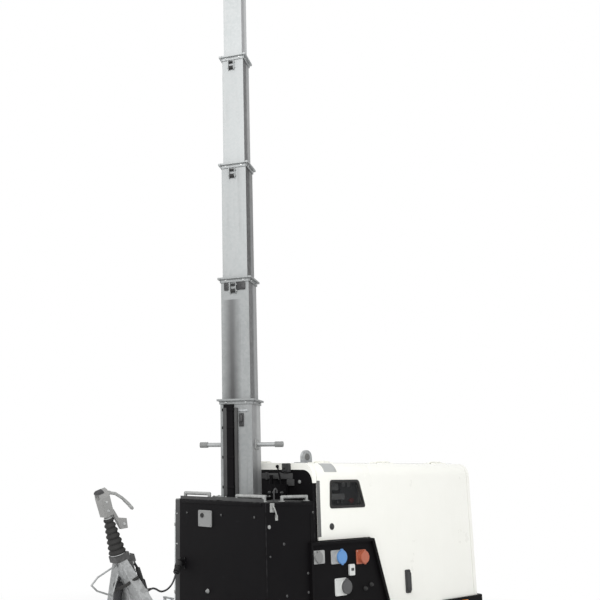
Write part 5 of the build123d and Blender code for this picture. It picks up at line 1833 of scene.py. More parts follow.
@dataclass
class RunningGear:
    """Tyres with tread, wheel nuts and valves, and the jockey wheel's own tyre and rim."""

    axle: tuple[float, float]
    jockey: Vector
    track: float = 0.62
    radius: float = 0.29
    rim: float = 0.168
    jockey_radius: float = 0.1

    def tyre(self, place: Place) -> Surface:
        """A road tyre as a grid of angle by section.

        The section runs from the inner bead over the tread to the outer bead. Four grooves sink the tread by a
        smooth dip each, and slanting blocks come from a sine of the angle and the place across the tread.

        Args:
            place: Where the wheel stands.

        Returns:
            The finished surface.
        """
        r, rim = self.radius, self.rim
        section = np.array([(rim, -0.061), (rim + 0.004, -0.068), (rim + 0.02, -0.076), (rim + 0.045, -0.0805),
                            (rim + 0.062, -0.0815), (rim + 0.066, -0.08), (rim + 0.072, -0.08),
                            (rim + 0.08, -0.079), (r - 0.022, -0.0745), (r - 0.012, -0.07),
                            (r - 0.005, -0.064), (r - 0.0015, -0.059)])
        across = np.linspace(-0.0575, 0.0575, 47)
        crown = np.stack([r - 0.9 * across**2, across], -1)
        whole = np.concatenate([section, crown, section[::-1] * (1, -1)])
        step = np.linspace(0.0, TAU, 240, endpoint=False)[:, None]
        radius, y = (np.repeat(whole[None, :, k], len(step), 0) for k in (0, 1))
        grooves = sum(np.exp(-((y - at) / 0.0034)**4) for at in (-0.04, -0.0135, 0.0135, 0.04))
        slant = np.sin(step * 60 + np.abs(y) * 260)
        sipes = np.clip((slant - 0.72) / 0.1, 0, 1) * np.clip((np.abs(y) - 0.018) / 0.004, 0, 1)
        tread = np.clip((radius - (r - 0.012)) / 0.008, 0, 1)
        radius = radius - tread * np.clip(grooves * 0.0062 + sipes * 0.0042, 0, 0.0062)
        lug = np.clip((radius - (r - 0.024)) / 0.004, 0, 1) * np.clip((r - 0.004 - radius) / 0.003, 0, 1)
        radius = radius - lug * np.clip((slant - 0.5) / 0.2, 0, 1) * 0.0025
        shape = np.stack([radius * np.cos(step), radius * np.sin(step), y], -1)
        return Surface().grid(shape.transpose(1, 0, 2), place, caps=False, loop=True)

    def nuts(self, place: Place) -> Surface:
        """Five cone-seat nuts on studs round the hub, a valve stem and the cap's rim.

        Args:
            place: Where the wheel stands.

        Returns:
            The finished surface.
        """
        surface = Surface()
        for a in TAU / 5 * np.arange(5) + 0.3:
            spot = place.at(0.08 * math.cos(a), 0.08 * math.sin(a), 0.0232)
            surface.turn(spot, ((0.0105, 0.0), (0.0135, 0.003), (0.0135, 0.004)), 20)
            surface.bolt(spot.at(0, 0, 0.0035), 0.019, 0.012)
            surface.turn(spot, ((0.0058, 0.014), (0.0058, 0.02), (0.0045, 0.021)), 12)
        surface.turn(place, ((0.0345, 0.05), (0.0345, 0.0565), (0.0325, 0.0588), (0.012, 0.0592), (0.0008, 0.0594)))
        return surface.turn(place.at(0.14, 0.0, 0.0), ((0.004, 0.008), (0.004, 0.03), (0.0052, 0.03),
                                                        (0.0052, 0.04), (0.003, 0.041)), 12)

    def jockey_tyre(self, place: Place) -> Surface:
        """A plain solid tyre with round shoulders.

        Args:
            place: Where the wheel stands.

        Returns:
            The finished surface.
        """
        r = self.jockey_radius
        half = ((0.064, -0.029), (0.078, -0.0298), (r - 0.01, -0.029), (r - 0.003, -0.0235), (r, -0.015))
        return Surface().hoop(place, (*mirrored(half), (0.062, 0.015), (0.062, -0.015)), 72)

    def jockey_rim(self, place: Place) -> Surface:
        """A pressed rim: hub, dished web and outer lip, as one closed section round the axle.

        Args:
            place: Where the wheel stands.

        Returns:
            The finished surface.
        """
        half = ((0.0083, -0.0355), (0.024, -0.0355), (0.024, -0.012), (0.05, -0.009), (0.058, -0.026),
                (0.0635, -0.027))
        return Surface().hoop(place, mirrored(half), 60)

    def build(self) -> None:
        """Replaces the tyres and the jockey wheel, and adds the small parts of the wheels."""
        x, z = self.axle
        for name, (side, direction) in zip(("left", "right"), SIDES):
            place = Place((x, side * self.track, z)).facing(direction)
            Piece(f"road_tyre_{name}", f"wheel_{name}", TYRE, "tyre_rubber", (f"tyre_{name}",), 24.0).make(
                self.tyre(place))
            Piece(f"wheel_nuts_{name}", f"wheel_{name}", ZINC, "rim_steel").make(self.nuts(place))
        place = Place(self.jockey).facing("+y")
        Piece("jockey_tyre", "jockey_wheel", TYRE, "tyre_rubber", ("jockey_wheel",)).make(self.jockey_tyre(place))
        Piece("jockey_rim", "jockey_wheel", RIM_PAINT, "rim_steel").make(self.jockey_rim(place))


@dataclass
class Chassis(Assembly):
    """Fittings on the chassis: crank grips, locking pins, lamp lenses, side markers and the bare plate."""

    front: float
    rear: float
    reach: float = 1.1
    # corner, distance back, side
    corners: tuple[tuple[str, float, int], ...] = (
        ("fl", 0.07, 1), ("fr", 0.165, -1), ("rl", 2.46, 1), ("rr", 2.365, -1))

    def crank(self, back: float, side: int) -> Surface:
        """The black turning grip of one jack's crank, and the cap on the jack's head.

        Args:
            back: How far back the jack stands.
            side: Which side, as a sign.

        Returns:
            The finished surface.
        """
        low, long = -0.028, 0.09
        z = np.linspace(low, low + long, 31)
        r = 0.0125 + 0.0022 * np.sin((z - low) / long * math.pi)**0.7 + 0.0004 * np.cos(z * 900)
        surface = Surface().turn(self.on(back, side * (self.reach + 0.062), 0.422, FACING[side]),
                                 [(0.008, -0.0285), *zip(r, z), (0.008, 0.0635)], 22)
        return surface.turn(self.on(back, side * self.reach, 0.0),
                            ((0.0315, 0.586), (0.0325, 0.59), (0.0325, 0.6015), (0.028, 0.6065), (0.01, 0.6075),
                             (0.001, 0.6077)), 36)

    def arm_bolts(self, back: float, side: int) -> Surface:
        """Bolts through the arm's clamp at the jack."""
        return Surface().bolts((self.on(back, side * (self.reach - off), 0.5455) for off in (0.06, 0.085)), 0.017,
                               0.009)

    @fitting("sleeve_pins", ZINC, "galvanised_steel")
    def lock_pins(self, skin: Surface) -> None:
        """A spring plunger with its ring on each outrigger sleeve.

        Args:
            skin: The surface that the shapes go to.
        """
        for _, back, side in self.corners:
            skin.turn(self.on(back, side * 0.448, 0.552),
                      ((0.016, 0.0), (0.016, 0.004), (0.012, 0.005), (0.012, 0.022), (0.0075, 0.024)), 20)

    def stern(self, y: float) -> Place:
        """A place on the rear bumper, facing backwards."""
        return Place((self.rear - 0.07, y, 0.53)).facing("-x")

    @fitting("rear_lamp_housing", BLACK_PLASTIC, "rear_lens")
    def lamp_housing(self, skin: Surface) -> None:
        """The rear lamps' housings."""
        for side, _ in SIDES:
            skin.pad(self.stern(side * 0.35), 0.18, 0.1, 0.006, 0.012, 0.002)

    @fitting("rear_lamp_red", RED_LENS, "rear_lens", -0.038, 0.024, replaces=("rear_lamps",))
    @fitting("rear_lamp_amber", AMBER_LENS, "rear_lens", 0.028, 0.086)
    @fitting("rear_lamp_white", CLEAR_LENS, "rear_lens", -0.086, -0.042)
    def lenses(self, skin: Surface, inner: float, outer: float) -> None:
        """One colour's moulded lenses on both lamps, each a domed pad with rounded edges.

        Args:
            skin: The surface that the shapes go to.
            inner: Where the lenses start along the lamp.
            outer: Where they end.
        """
        rows = ((0.0, 0.0), (0.0, 0.014), (0.003, 0.019), (0.009, 0.0215), (0.02, 0.0225))
        for side, _ in SIDES:
            spot = self.stern(side * 0.35).at(-side * (inner + outer) / 2, 0.0, 0.003)
            skin.steps(spot, outer - inner, 0.088, 0.01, rows)

    @fitting("side_markers", AMBER_LENS, "rear_lens")
    def side_markers(self, skin: Surface) -> None:
        """Amber markers along both sides of the bumper and the chassis.

        Args:
            skin: The surface that the shapes go to.
        """
        rows = ((0.0, 0.0), (0.0, 0.006), (0.002, 0.01), (0.006, 0.012), (0.012, 0.0125))
        for side, direction in SIDES:
            skin.steps(Place((self.rear + 0.225, side * 0.522, 0.6)).facing(direction), 0.09, 0.036, 0.008, rows)

    @fitting("plate_back", PALE_PLASTIC, "control_grey")
    def plate(self, skin: Surface) -> None:
        """The bare backing plate for the number plate, with two screws."""
        skin.pad(self.stern(0.0), 0.42, 0.11, 0.005, 0.008, 0.0015)
        skin.screws((self.stern(0.0).at(x, 0.0, 0.005) for x in (-0.18, 0.18)), 0.005)

    @fitting("hinge_pin_nuts", ZINC, "galvanised_steel", body="drawbar")
    def hinge_nuts(self, skin: Surface) -> None:
        """Nuts on the ends of the drawbar's hinge pins."""
        skin.bolts((self.on(-HINGE_AHEAD, side * 0.44, HINGE_HEIGHT, direction) for side, direction in SIDES), 0.034,
                   0.014)

    def build(self) -> None:
        """Adds every fitting of the chassis."""
        for corner, back, side in self.corners:
            body = f"outrigger_arm_{corner}"
            Piece(f"crank_grip_{corner}", body, GRIP_RUBBER, "black_plastic").make(self.crank(back, side))
            Piece(f"arm_bolts_{corner}", body, ZINC, "galvanised_steel").make(self.arm_bolts(back, side))
        self.fit()


@dataclass
class Drawbar(Assembly):
    """The folded drawbar's rubber bellows, fasteners, grip and the trailer lead. u runs along it, v up from it."""

    place: Place
    front: float
    bellows_start: float = 0.695
    folds: int = 7
    fold: float = 0.038
    lead_points: tuple[Vector, ...] = (
        (1.5605, 0.168, 0.9224), (1.5043, 0.15, 0.932), (1.4423, 0.108, 0.916), (1.3723, 0.044, 0.89),
        (1.2963, -0.03, 0.87), (1.2143, -0.108, 0.858), (1.1283, -0.188, 0.852), (1.0442, -0.268, 0.854),
        (0.9702, -0.336, 0.864), (0.9164, -0.382, 0.888), (0.8784, -0.41, 0.926))
    lead_radius: float = 0.007
    lead_length: float = 0.924

    def spot(self, u: float, y: float, v: float, direction: str = "+z") -> Place:
        """A place in the drawbar's own frame."""
        return self.place.at(u, y, v).facing(direction)

    def head(self) -> float:
        """How far along the drawbar the bellows end and the coupling head starts."""
        return self.bellows_start + self.folds * self.fold

    @fitting("drawbar_bellows", RUBBER, "bellows_rubber", body="drawbar", replaces=("bellows",))
    def bellows(self, skin: Surface) -> None:
        """Rubber bellows: crests on a straight taper, and waists 10 mm below them joined by a rounded cosine.

        Args:
            skin: The surface that the shapes go to.
        """
        u = np.linspace(0.0, self.folds * self.fold, self.folds * 16 + 1)
        crest = np.interp(u / self.fold, (0.5, self.folds - 0.5), (0.0618, 0.0378))
        swing = 0.5 - 0.5 * np.cos(u / self.fold * TAU)
        radius = crest - 0.0105 * (1.0 - swing**0.8)
        profile = [(0.03, 0.0), (0.0505, 0.0), (0.0515, 0.006), *zip(radius[3:-3], u[3:-3]),
                   (0.029, u[-1] - 0.006), (0.0285, u[-1]), (0.018, u[-1])]
        skin.turn(self.spot(self.bellows_start, 0, 0, "+x"), profile, 56)

    @fitting("bellows_clips", ZINC, "galvanised_steel", body="drawbar")
    def clips(self, skin: Surface) -> None:
        """Hose clips on both ends of the bellows, each with its screw.

        Args:
            skin: The surface that the shapes go to.
        """
        for u, r in ((self.bellows_start + 0.006, 0.053), (self.head() - 0.005, 0.0302)):
            skin.hoop(self.spot(u, 0, 0, "+x"), mirrored(((r - 0.0012, -0.004), (r + 0.0006, -0.004))), 48)
            skin.pad(self.spot(u, 0, r), 0.014, 0.01, 0.007, 0.002, 0.001)

    @fitting("overrun_bolts", ZINC, "galvanised_steel", body="drawbar")
    def housing_bolts(self, skin: Surface) -> None:
        """Bolts that hold the overrun housing to the drawbar, and the heads of the brake lever's pin.

        Args:
            skin: The surface that the shapes go to.
        """
        for u, y in ((0.545, 0.05), (0.61, 0.055), (0.672, 0.034)):
            skin.bolts((self.spot(u, side * y, 0.061) for side in (-1, 1)), 0.019, 0.01)
        skin.bolts((self.spot(0.64, side * 0.0215, 0.093, direction) for side, direction in SIDES), 0.019, 0.006)

    @fitting("grease_nipples", ZINC, "galvanised_steel", body="drawbar")
    def grease_points(self, skin: Surface) -> None:
        """Two grease nipples on the overrun housing.

        Args:
            skin: The surface that the shapes go to.
        """
        for u in (0.585, 0.655):
            skin.turn(self.spot(u, 0.0, 0.061), ((0.0048, 0.0), (0.0048, 0.005), (0.0028, 0.008), (0.0034, 0.011),
                                                 (0.002, 0.013)), 14)

    @fitting("coupling_bolts", ZINC, "galvanised_steel", body="drawbar")
    def head_bolts(self, skin: Surface) -> None:
        """Bolts on the coupling head's top and sides, and through the lug behind it.

        Args:
            skin: The surface that the shapes go to.
        """
        u = self.head()
        for du, y in ((0.078, -0.018), (0.078, 0.018), (0.118, 0.0)):
            skin.bolt(self.spot(u + du, y, 0.034), 0.016, 0.008)
        for side, direction in SIDES:
            for du, y in ((0.05, 0.0358), (0.112, 0.0386)):
                skin.bolt(self.spot(u + du, side * y, -0.004, direction), 0.016, 0.007)
            skin.bolt(self.spot(u - 0.086, side * 0.014, 0.104, direction), 0.019, 0.008)

    @fitting("coupling_jaw", CAST_BLACK, "coupling_cast", body="drawbar")
    def head_jaw(self, skin: Surface) -> None:
        """The dark jaw plate round the nose of the coupling, a collar that follows the head's outline."""
        nose = np.array(mirrored(((0.176, -0.0338), (0.19, -0.029), (0.2052, -0.001)))) + (self.head(), 0.0)
        skin.prism(nose, -0.0432, 0.002, self.place)

    @fitting("drawbar_strut", LAMP_BLACK, "black_plastic", body="drawbar")
    def strut(self, skin: Surface) -> None:
        """The black lifting strut inside the right leg: cylinder, end caps and the thinner rod below it.

        Args:
            skin: The surface that the shapes go to.
        """
        start, end = np.array([0.5, -0.012, -0.052]), np.array([0.13, -0.216, -0.052])
        s = np.array([0.0, 0.0005, 0.006, 0.034, 0.036, 0.262, 0.268, 0.269, 0.422]) / 0.422
        r = np.array([0.014, 0.03, 0.0345, 0.0345, 0.032, 0.032, 0.029, 0.0095, 0.0095])
        skin.sweep(start + (end - start) * s[:, None], r, 24, self.place)

    @fitting("drawbar_gusset", LEG_GREY, "galvanised_steel", body="drawbar")
    def gusset(self, skin: Surface) -> None:
        """The folded plate that fills the fork between the drawbar's legs, with its pressed rib.

        Args:
            skin: The surface that the shapes go to.
        """
        skin.prism(np.array(((0.3, -0.188), (0.53, -0.05), (0.53, 0.05), (0.3, 0.188))), -0.012, -0.006,
                   self.place)
        skin.pad(self.spot(0.395, 0.0, -0.012, "-z"), 0.15, 0.07, 0.005, 0.02, 0.0045)

    @fitting("brake_cable", RUBBER, "black_plastic", body="drawbar")
    def brake_cable(self, skin: Surface) -> None:
        """The sheathed brake cable that crosses from the lever's foot to the lifting strut.

        Args:
            skin: The surface that the shapes go to.
        """
        line = arc_path(((0.532, 0.142, 0.03), (0.518, 0.116, -0.022), (0.508, 0.106, -0.05),
                         (0.496, 0.07, -0.061), (0.478, 0.014, -0.082), (0.458, -0.036, -0.084)))
        skin.sweep(line, 0.0105, 12, self.place)

    @fitting("handbrake_grip", GRIP_RUBBER, "lever_black", body="brake_lever")
    def lever_grip(self, skin: Surface) -> None:
        """The thick ribbed grip on the handbrake lever, laid along the lever's own line.

        Args:
            skin: The surface that the shapes go to.
        """
        start, end = np.array([0.447, -0.004, 0.1311]), np.array([0.3085, -0.004, 0.1331])
        run, smooth = float(np.linalg.norm(end - start)), 0.012
        s = np.linspace(0.0, run, 81)
        r = 0.0254 + 0.0009 * np.cos(s / run * 12 * TAU) * ((s > smooth) & (s < run - smooth))
        skin.sweep(start + (end - start) * (s / run)[:, None], r, 20, self.place)

    @fitting("coupling_grip", DULL_ZINC, "lever_black", body="coupling_handle")
    def handle_grip(self, skin: Surface) -> None:
        """The sleeve on the coupling handle's end."""
        line = ((0.067, 0.1615), (0.03, 0.186), (-0.011, 0.2075))
        skin.sweep(arc_path([(self.head() + du, 0, v) for du, v in line]), 0.0125, 16, self.place)

    def line(self) -> Array:
        """Points along the lead's own line: an open spline whose control points are those of the route.

        Returns:
            The points, one to a row.
        """
        data = bpy.data.curves.new("lead_line", "CURVE")
        data.dimensions = "3D"
        data.resolution_u = 16
        spline = data.splines.new("NURBS")
        spline.points.add(len(self.lead_points) - 1)
        for point, place in zip(spline.points, self.lead_points):
            point.co = (*place, 1.0)
        spline.order_u = 3
        spline.use_endpoint_u = True
        helper = bpy.data.objects.new("lead_line", data)
        bpy.context.scene.collection.objects.link(helper)
        bpy.context.view_layer.update()
        mesh = bpy.data.meshes.new_from_object(helper)
        points = np.empty(len(mesh.vertices) * 3)
        mesh.vertices.foreach_get("co", points)
        bpy.data.objects.remove(helper)
        bpy.data.curves.remove(data)
        bpy.data.meshes.remove(mesh)
        return points.reshape(-1, 3)

    def end(self, path: Array) -> Place:
        """A frame at the start of a path, its +Z along it.

        Args:
            path: The points of the path, one to a row.

        Returns:
            The place, with its axis along the line.
        """
        z = (path[1] - path[0]) / np.linalg.norm(path[1] - path[0])
        x = np.cross(z, (0.0, 0.0, 1.0))
        x /= np.linalg.norm(x)
        return Place(tuple(path[0]), tuple(map(tuple, (x, np.cross(z, x), z))))

    def relief(self, path: Array, length: float = 0.042) -> Surface:
        """A tapered strain relief round the start of a path, with slots as waists in its radius.

        Args:
            path: The points of the path, one to a row.
            length: How far the relief reaches.

        Returns:
            The finished surface.
        """
        distance = np.concatenate([[0.0], np.cumsum(np.linalg.norm(np.diff(path, axis=0), axis=1))])
        s = np.linspace(0.0, length, 37)
        centre = np.stack([np.interp(s, distance, path[:, k]) for k in range(3)], -1)
        r = 0.0122 - 0.0044 * s / length - 0.0011 * np.clip(np.cos(s / length * 6 * TAU), 0, 1) * (s > 0.004)
        surface = Surface().sweep(centre, r, 20)
        return surface.hexagon(self.end(path), 0.026, ((1, -0.016), (1, -0.004), (0.93, -0.002)))

    def plug(self, path: Array) -> Surface:
        """The plug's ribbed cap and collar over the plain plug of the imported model.

        Args:
            path: The points of the path, one to a row.

        Returns:
            The finished surface.
        """
        z = np.linspace(-0.017, -0.062, 46)
        ribs = 0.0246 + 0.0009 * np.cos((z + 0.017) / 0.045 * 10 * TAU)
        profile = [(0.012, -0.0004), (0.015, -0.001), (0.016, -0.015), (0.0225, -0.0165), *zip(ribs, z),
                   (0.0246, -0.066), (0.02, -0.0665)]
        return Surface().turn(self.end(path), profile[::-1], 36)

    def holder(self, path: Array) -> Surface:
        """The holder's collar, and the screws of its base.

        Args:
            path: The points of the path, one to a row.

        Returns:
            The finished surface.
        """
        collar = ((0.0272, -0.118), (0.0292, -0.116), (0.0292, -0.072), (0.0276, -0.068), (0.025, -0.068))
        surface = Surface().turn(self.end(path), collar, 40)
        base = self.on(-0.006, float(path[0, 1]) - 0.052, float(path[0, 2]) + 0.072, "+x")
        corners = ((-0.024, -0.038), (0.03, -0.038), (-0.024, 0.036), (0.03, 0.036))
        return surface.screws((base.at(x, y, 0.0) for x, y in corners), 0.005)

    def lead(self) -> None:
        """The flexible lead: a round tube on its spline, held at the drawbar and at the housing."""
        line = self.line()
        piece = Piece("trailer_lead", "", CABLE_RUBBER, "lead_rubber", ("lead",)).make(
            Surface().sweep(line, self.lead_radius, 16))
        relief = Piece("lead_relief", "drawbar", RUBBER, "black_plastic").make(self.relief(line))
        plug = Piece("lead_plug", "trailer", BLACK_PLASTIC, "black_plastic").make(self.plug(line[::-1]))
        Piece("plug_holder", "trailer", BLACK_PLASTIC, "black_plastic").make(self.holder(line[::-1]))
        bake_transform(piece)


@dataclass
class PowerPack(Assembly):
    """What shows behind the window and under the open doors: engine, alternator, silencer, tank and controls."""

    front: float
    x_low: float
    x_high: float
    floor: float = 0.568

    def spot(self, x: float, y: float, z: float, direction: str = "+x") -> Place:
        """A place measured from the engine's rear end and from the tray."""
        return Place((self.x_low + x, y, self.floor + z)).facing(direction)

    def pipe(self, skin: Surface, radius: float, *points: Vector) -> None:
        """A bent pipe through points measured from the engine's rear end and from the tray."""
        skin.sweep(arc_path([(self.x_low + x, y, self.floor + z) for x, y, z in points]), radius, 16)

    @fitting("engine_crankcase", ENGINE_PAINT, "engine", replaces=("engine_block",))
    def crankcase(self, skin: Surface) -> None:
        """Engine block with its sump, cylinder head and rocker cover as stacked rounded blocks, on two rails.

        Args:
            skin: The surface that the shapes go to.
        """
        for z, width, height, depth, radius, bevel in (
                (0.03, 0.34, 0.25, 0.12, 0.03, 0.012), (0.145, 0.32, 0.3, 0.2, 0.025, 0.01),
                (0.34, 0.3, 0.23, 0.11, 0.02, 0.008), (0.446, 0.27, 0.15, 0.07, 0.03, 0.016),
                *((0.349 + 0.011 * k, 0.316, 0.246, 0.005, 0.018, 0.001) for k in range(9))):
            skin.pad(self.spot(0.56, 0.0, z, "+z"), width, height, depth, radius, bevel)
        for side, _ in SIDES:
            skin.pad(Place(((self.x_low + self.x_high) / 2, side * 0.17, self.floor + 0.002)), 0.9, 0.05, 0.024,
                     0.004, 0.002)

    @fitting("alternator", ENGINE_GREY, "engine")
    def alternator(self, skin: Surface) -> None:
        """Round alternator: ribbed drum, and end bell with a grille of rings.

        Args:
            skin: The surface that the shapes go to.
        """
        z = np.linspace(0.0, 0.23, 93)
        r = 0.15 + 0.005 * (np.cos(z / 0.23 * 14 * TAU) > 0)
        profile = [(0.1, -0.03), (0.135, -0.028), (0.15, -0.004), *zip(r, z), (0.15, 0.236), (0.14, 0.262),
                   (0.11, 0.276), (0.1, 0.27), (0.08, 0.278), (0.06, 0.27), (0.04, 0.28), (0.001, 0.28)]
        skin.turn(self.spot(0.74, 0.0, 0.25), profile, 48)

    @fitting("engine_fan_shroud", BLACK_PLASTIC, "engine")
    def fan(self, skin: Surface) -> None:
        """Cooling shroud and the ribbed radiator at the engine's rear end.

        Args:
            skin: The surface that the shapes go to.
        """
        spot = self.spot(0.345, 0.0, 0.25, "-x")
        skin.pad(spot.at(0, 0.02, 0.0), 0.44, 0.44, 0.06, 0.03, 0.01)
        skin.turn(spot, ((0.18, -0.04), (0.2, -0.03), (0.2, 0.002)), 48)
        for k in range(21):
            skin.pad(spot.at(0, -0.175 + 0.0195 * k, 0.055), 0.4, 0.006, 0.058, 0.002, 0.001)

    @fitting("engine_silencer", SOOTED_STEEL, "engine")
    def silencer(self, skin: Surface) -> None:
        """Exhaust silencer: a drum with domed ends, two bands and its bent pipe.

        Args:
            skin: The surface that the shapes go to.
        """
        middle = 0.15
        half = ((0.01, -0.162), (0.04, -0.159), (0.056, -0.146), (0.058, -0.13), (0.0595, -0.129),
                (0.0595, -0.115), (0.058, -0.114))
        skin.turn(self.spot(0.42 + middle, 0.165, 0.48), mirrored(half), 40)
        self.pipe(skin, 0.021, (0.73, 0.165, 0.48), (0.765, 0.16, 0.47), (0.775, 0.12, 0.44),
                  (0.72, 0.1, 0.42))

    @fitting("air_filter", BLACK_PLASTIC, "engine")
    def air_filter(self, skin: Surface) -> None:
        """Air filter canister with its clips and intake elbow.

        Args:
            skin: The surface that the shapes go to.
        """
        skin.turn(self.spot(0.47, -0.15, 0.47),
                  ((0.02, 0.0), (0.064, 0.002), (0.068, 0.008), (0.068, 0.12), (0.071, 0.122), (0.071, 0.132),
                   (0.068, 0.134), (0.068, 0.19), (0.06, 0.2), (0.02, 0.202)), 40)
        self.pipe(skin, 0.026, (0.66, -0.15, 0.47), (0.71, -0.145, 0.465), (0.725, -0.105, 0.44),
                  (0.69, -0.08, 0.42))

    @fitting("engine_filters", ENGINE_GREY, "engine")
    def filters(self, skin: Surface) -> None:
        """The fuel and oil filters on the engine's left side, and the starter on its right.

        Args:
            skin: The surface that the shapes go to.
        """
        for x, z, r, tall in ((0.46, 0.15, 0.04, 0.095), (0.57, 0.18, 0.034, 0.08)):
            skin.turn(self.spot(x, 0.145, z, "+y"),
                      ((r * 0.5, 0.0), (r, 0.004), (r, tall * 0.8), (r * 0.9, tall), (0.01, tall + 0.004)), 28)
        skin.turn(self.spot(0.56, -0.165, 0.19),
                  ((0.02, -0.09), (0.036, -0.086), (0.036, 0.06), (0.028, 0.066), (0.014, 0.085)), 28)

    def controls(self) -> dict[str, Surface]:
        """The control panel's face: bezel, screen, meters, switches, breakers, stop button and the pale strip.

        Returns:
            The surfaces by the names of their pieces.
        """
        spot = self.on(0.83, 0.44, 1.545, "+y")
        plate, dark, pale, red = (Surface() for _ in range(4))
        plate.pad(spot, 0.5, 0.262, 0.004, 0.01, 0.0015)
        pale.pad(self.on(0.835, 0.462, 1.524, "+y"), 0.15, 0.046, 0.01, 0.003, 0.002)
        dark.pad(spot.at(-0.02, 0.05, 0.004), 0.132, 0.094, 0.012, 0.008, 0.003)
        pale.pad(spot.at(-0.02, 0.056, 0.0161), 0.092, 0.054, 0.0006, 0.002, 0.0002)
        for x in (0.095, 0.16):
            dark.turn(spot.at(x, 0.07, 0.004), ((0.027, 0.0), (0.027, 0.005), (0.024, 0.0065), (0.022, 0.004),
                                                 (0.001, 0.004)))
            pale.turn(spot.at(x, 0.07, 0.0079), ((0.0215, 0.0), (0.0215, 0.0006), (0.001, 0.0006)))
        for x in -0.16 + 0.0185 * np.arange(6):
            dark.pad(spot.at(x, -0.06, 0.004), 0.017, 0.06, 0.012, 0.002, 0.001)
            pale.pad(spot.at(x, -0.056, 0.0158), 0.008, 0.018, 0.005, 0.0015, 0.001)
        for x in (0.01, 0.06):
            dark.turn(spot.at(x, -0.06, 0.004), ((0.016, 0.0), (0.016, 0.01), (0.013, 0.013), (0.001, 0.013)), 24)
            pale.pad(spot.at(x, -0.06, 0.0165), 0.004, 0.024, 0.006, 0.001, 0.0006)
        pale.screws((spot.at(x, y, 0.004) for y in (0.118, -0.118) for x in (-0.235, 0.235)), 0.005)
        red.turn(spot.at(0.165, -0.055, 0.004), ((0.011, 0.0), (0.011, 0.014), (0.021, 0.018), (0.021, 0.026),
                                                 (0.018, 0.029), (0.001, 0.03)), 28)
        return {"plate": plate, "dark": dark, "pale": pale, "stop": red}

    def build(self) -> None:
        """Replaces the plain mass of the engine, and dresses the control panel."""
        self.fit()
        finishes = {"plate": PANEL_FACE, "dark": BLACK_PLASTIC, "pale": PALE_PLASTIC, "stop": STOP_RED}
        for name, surface in self.controls().items():
            Piece(f"controls_{name}", "trailer", finishes[name], "control_grey").make(surface)


# Studio


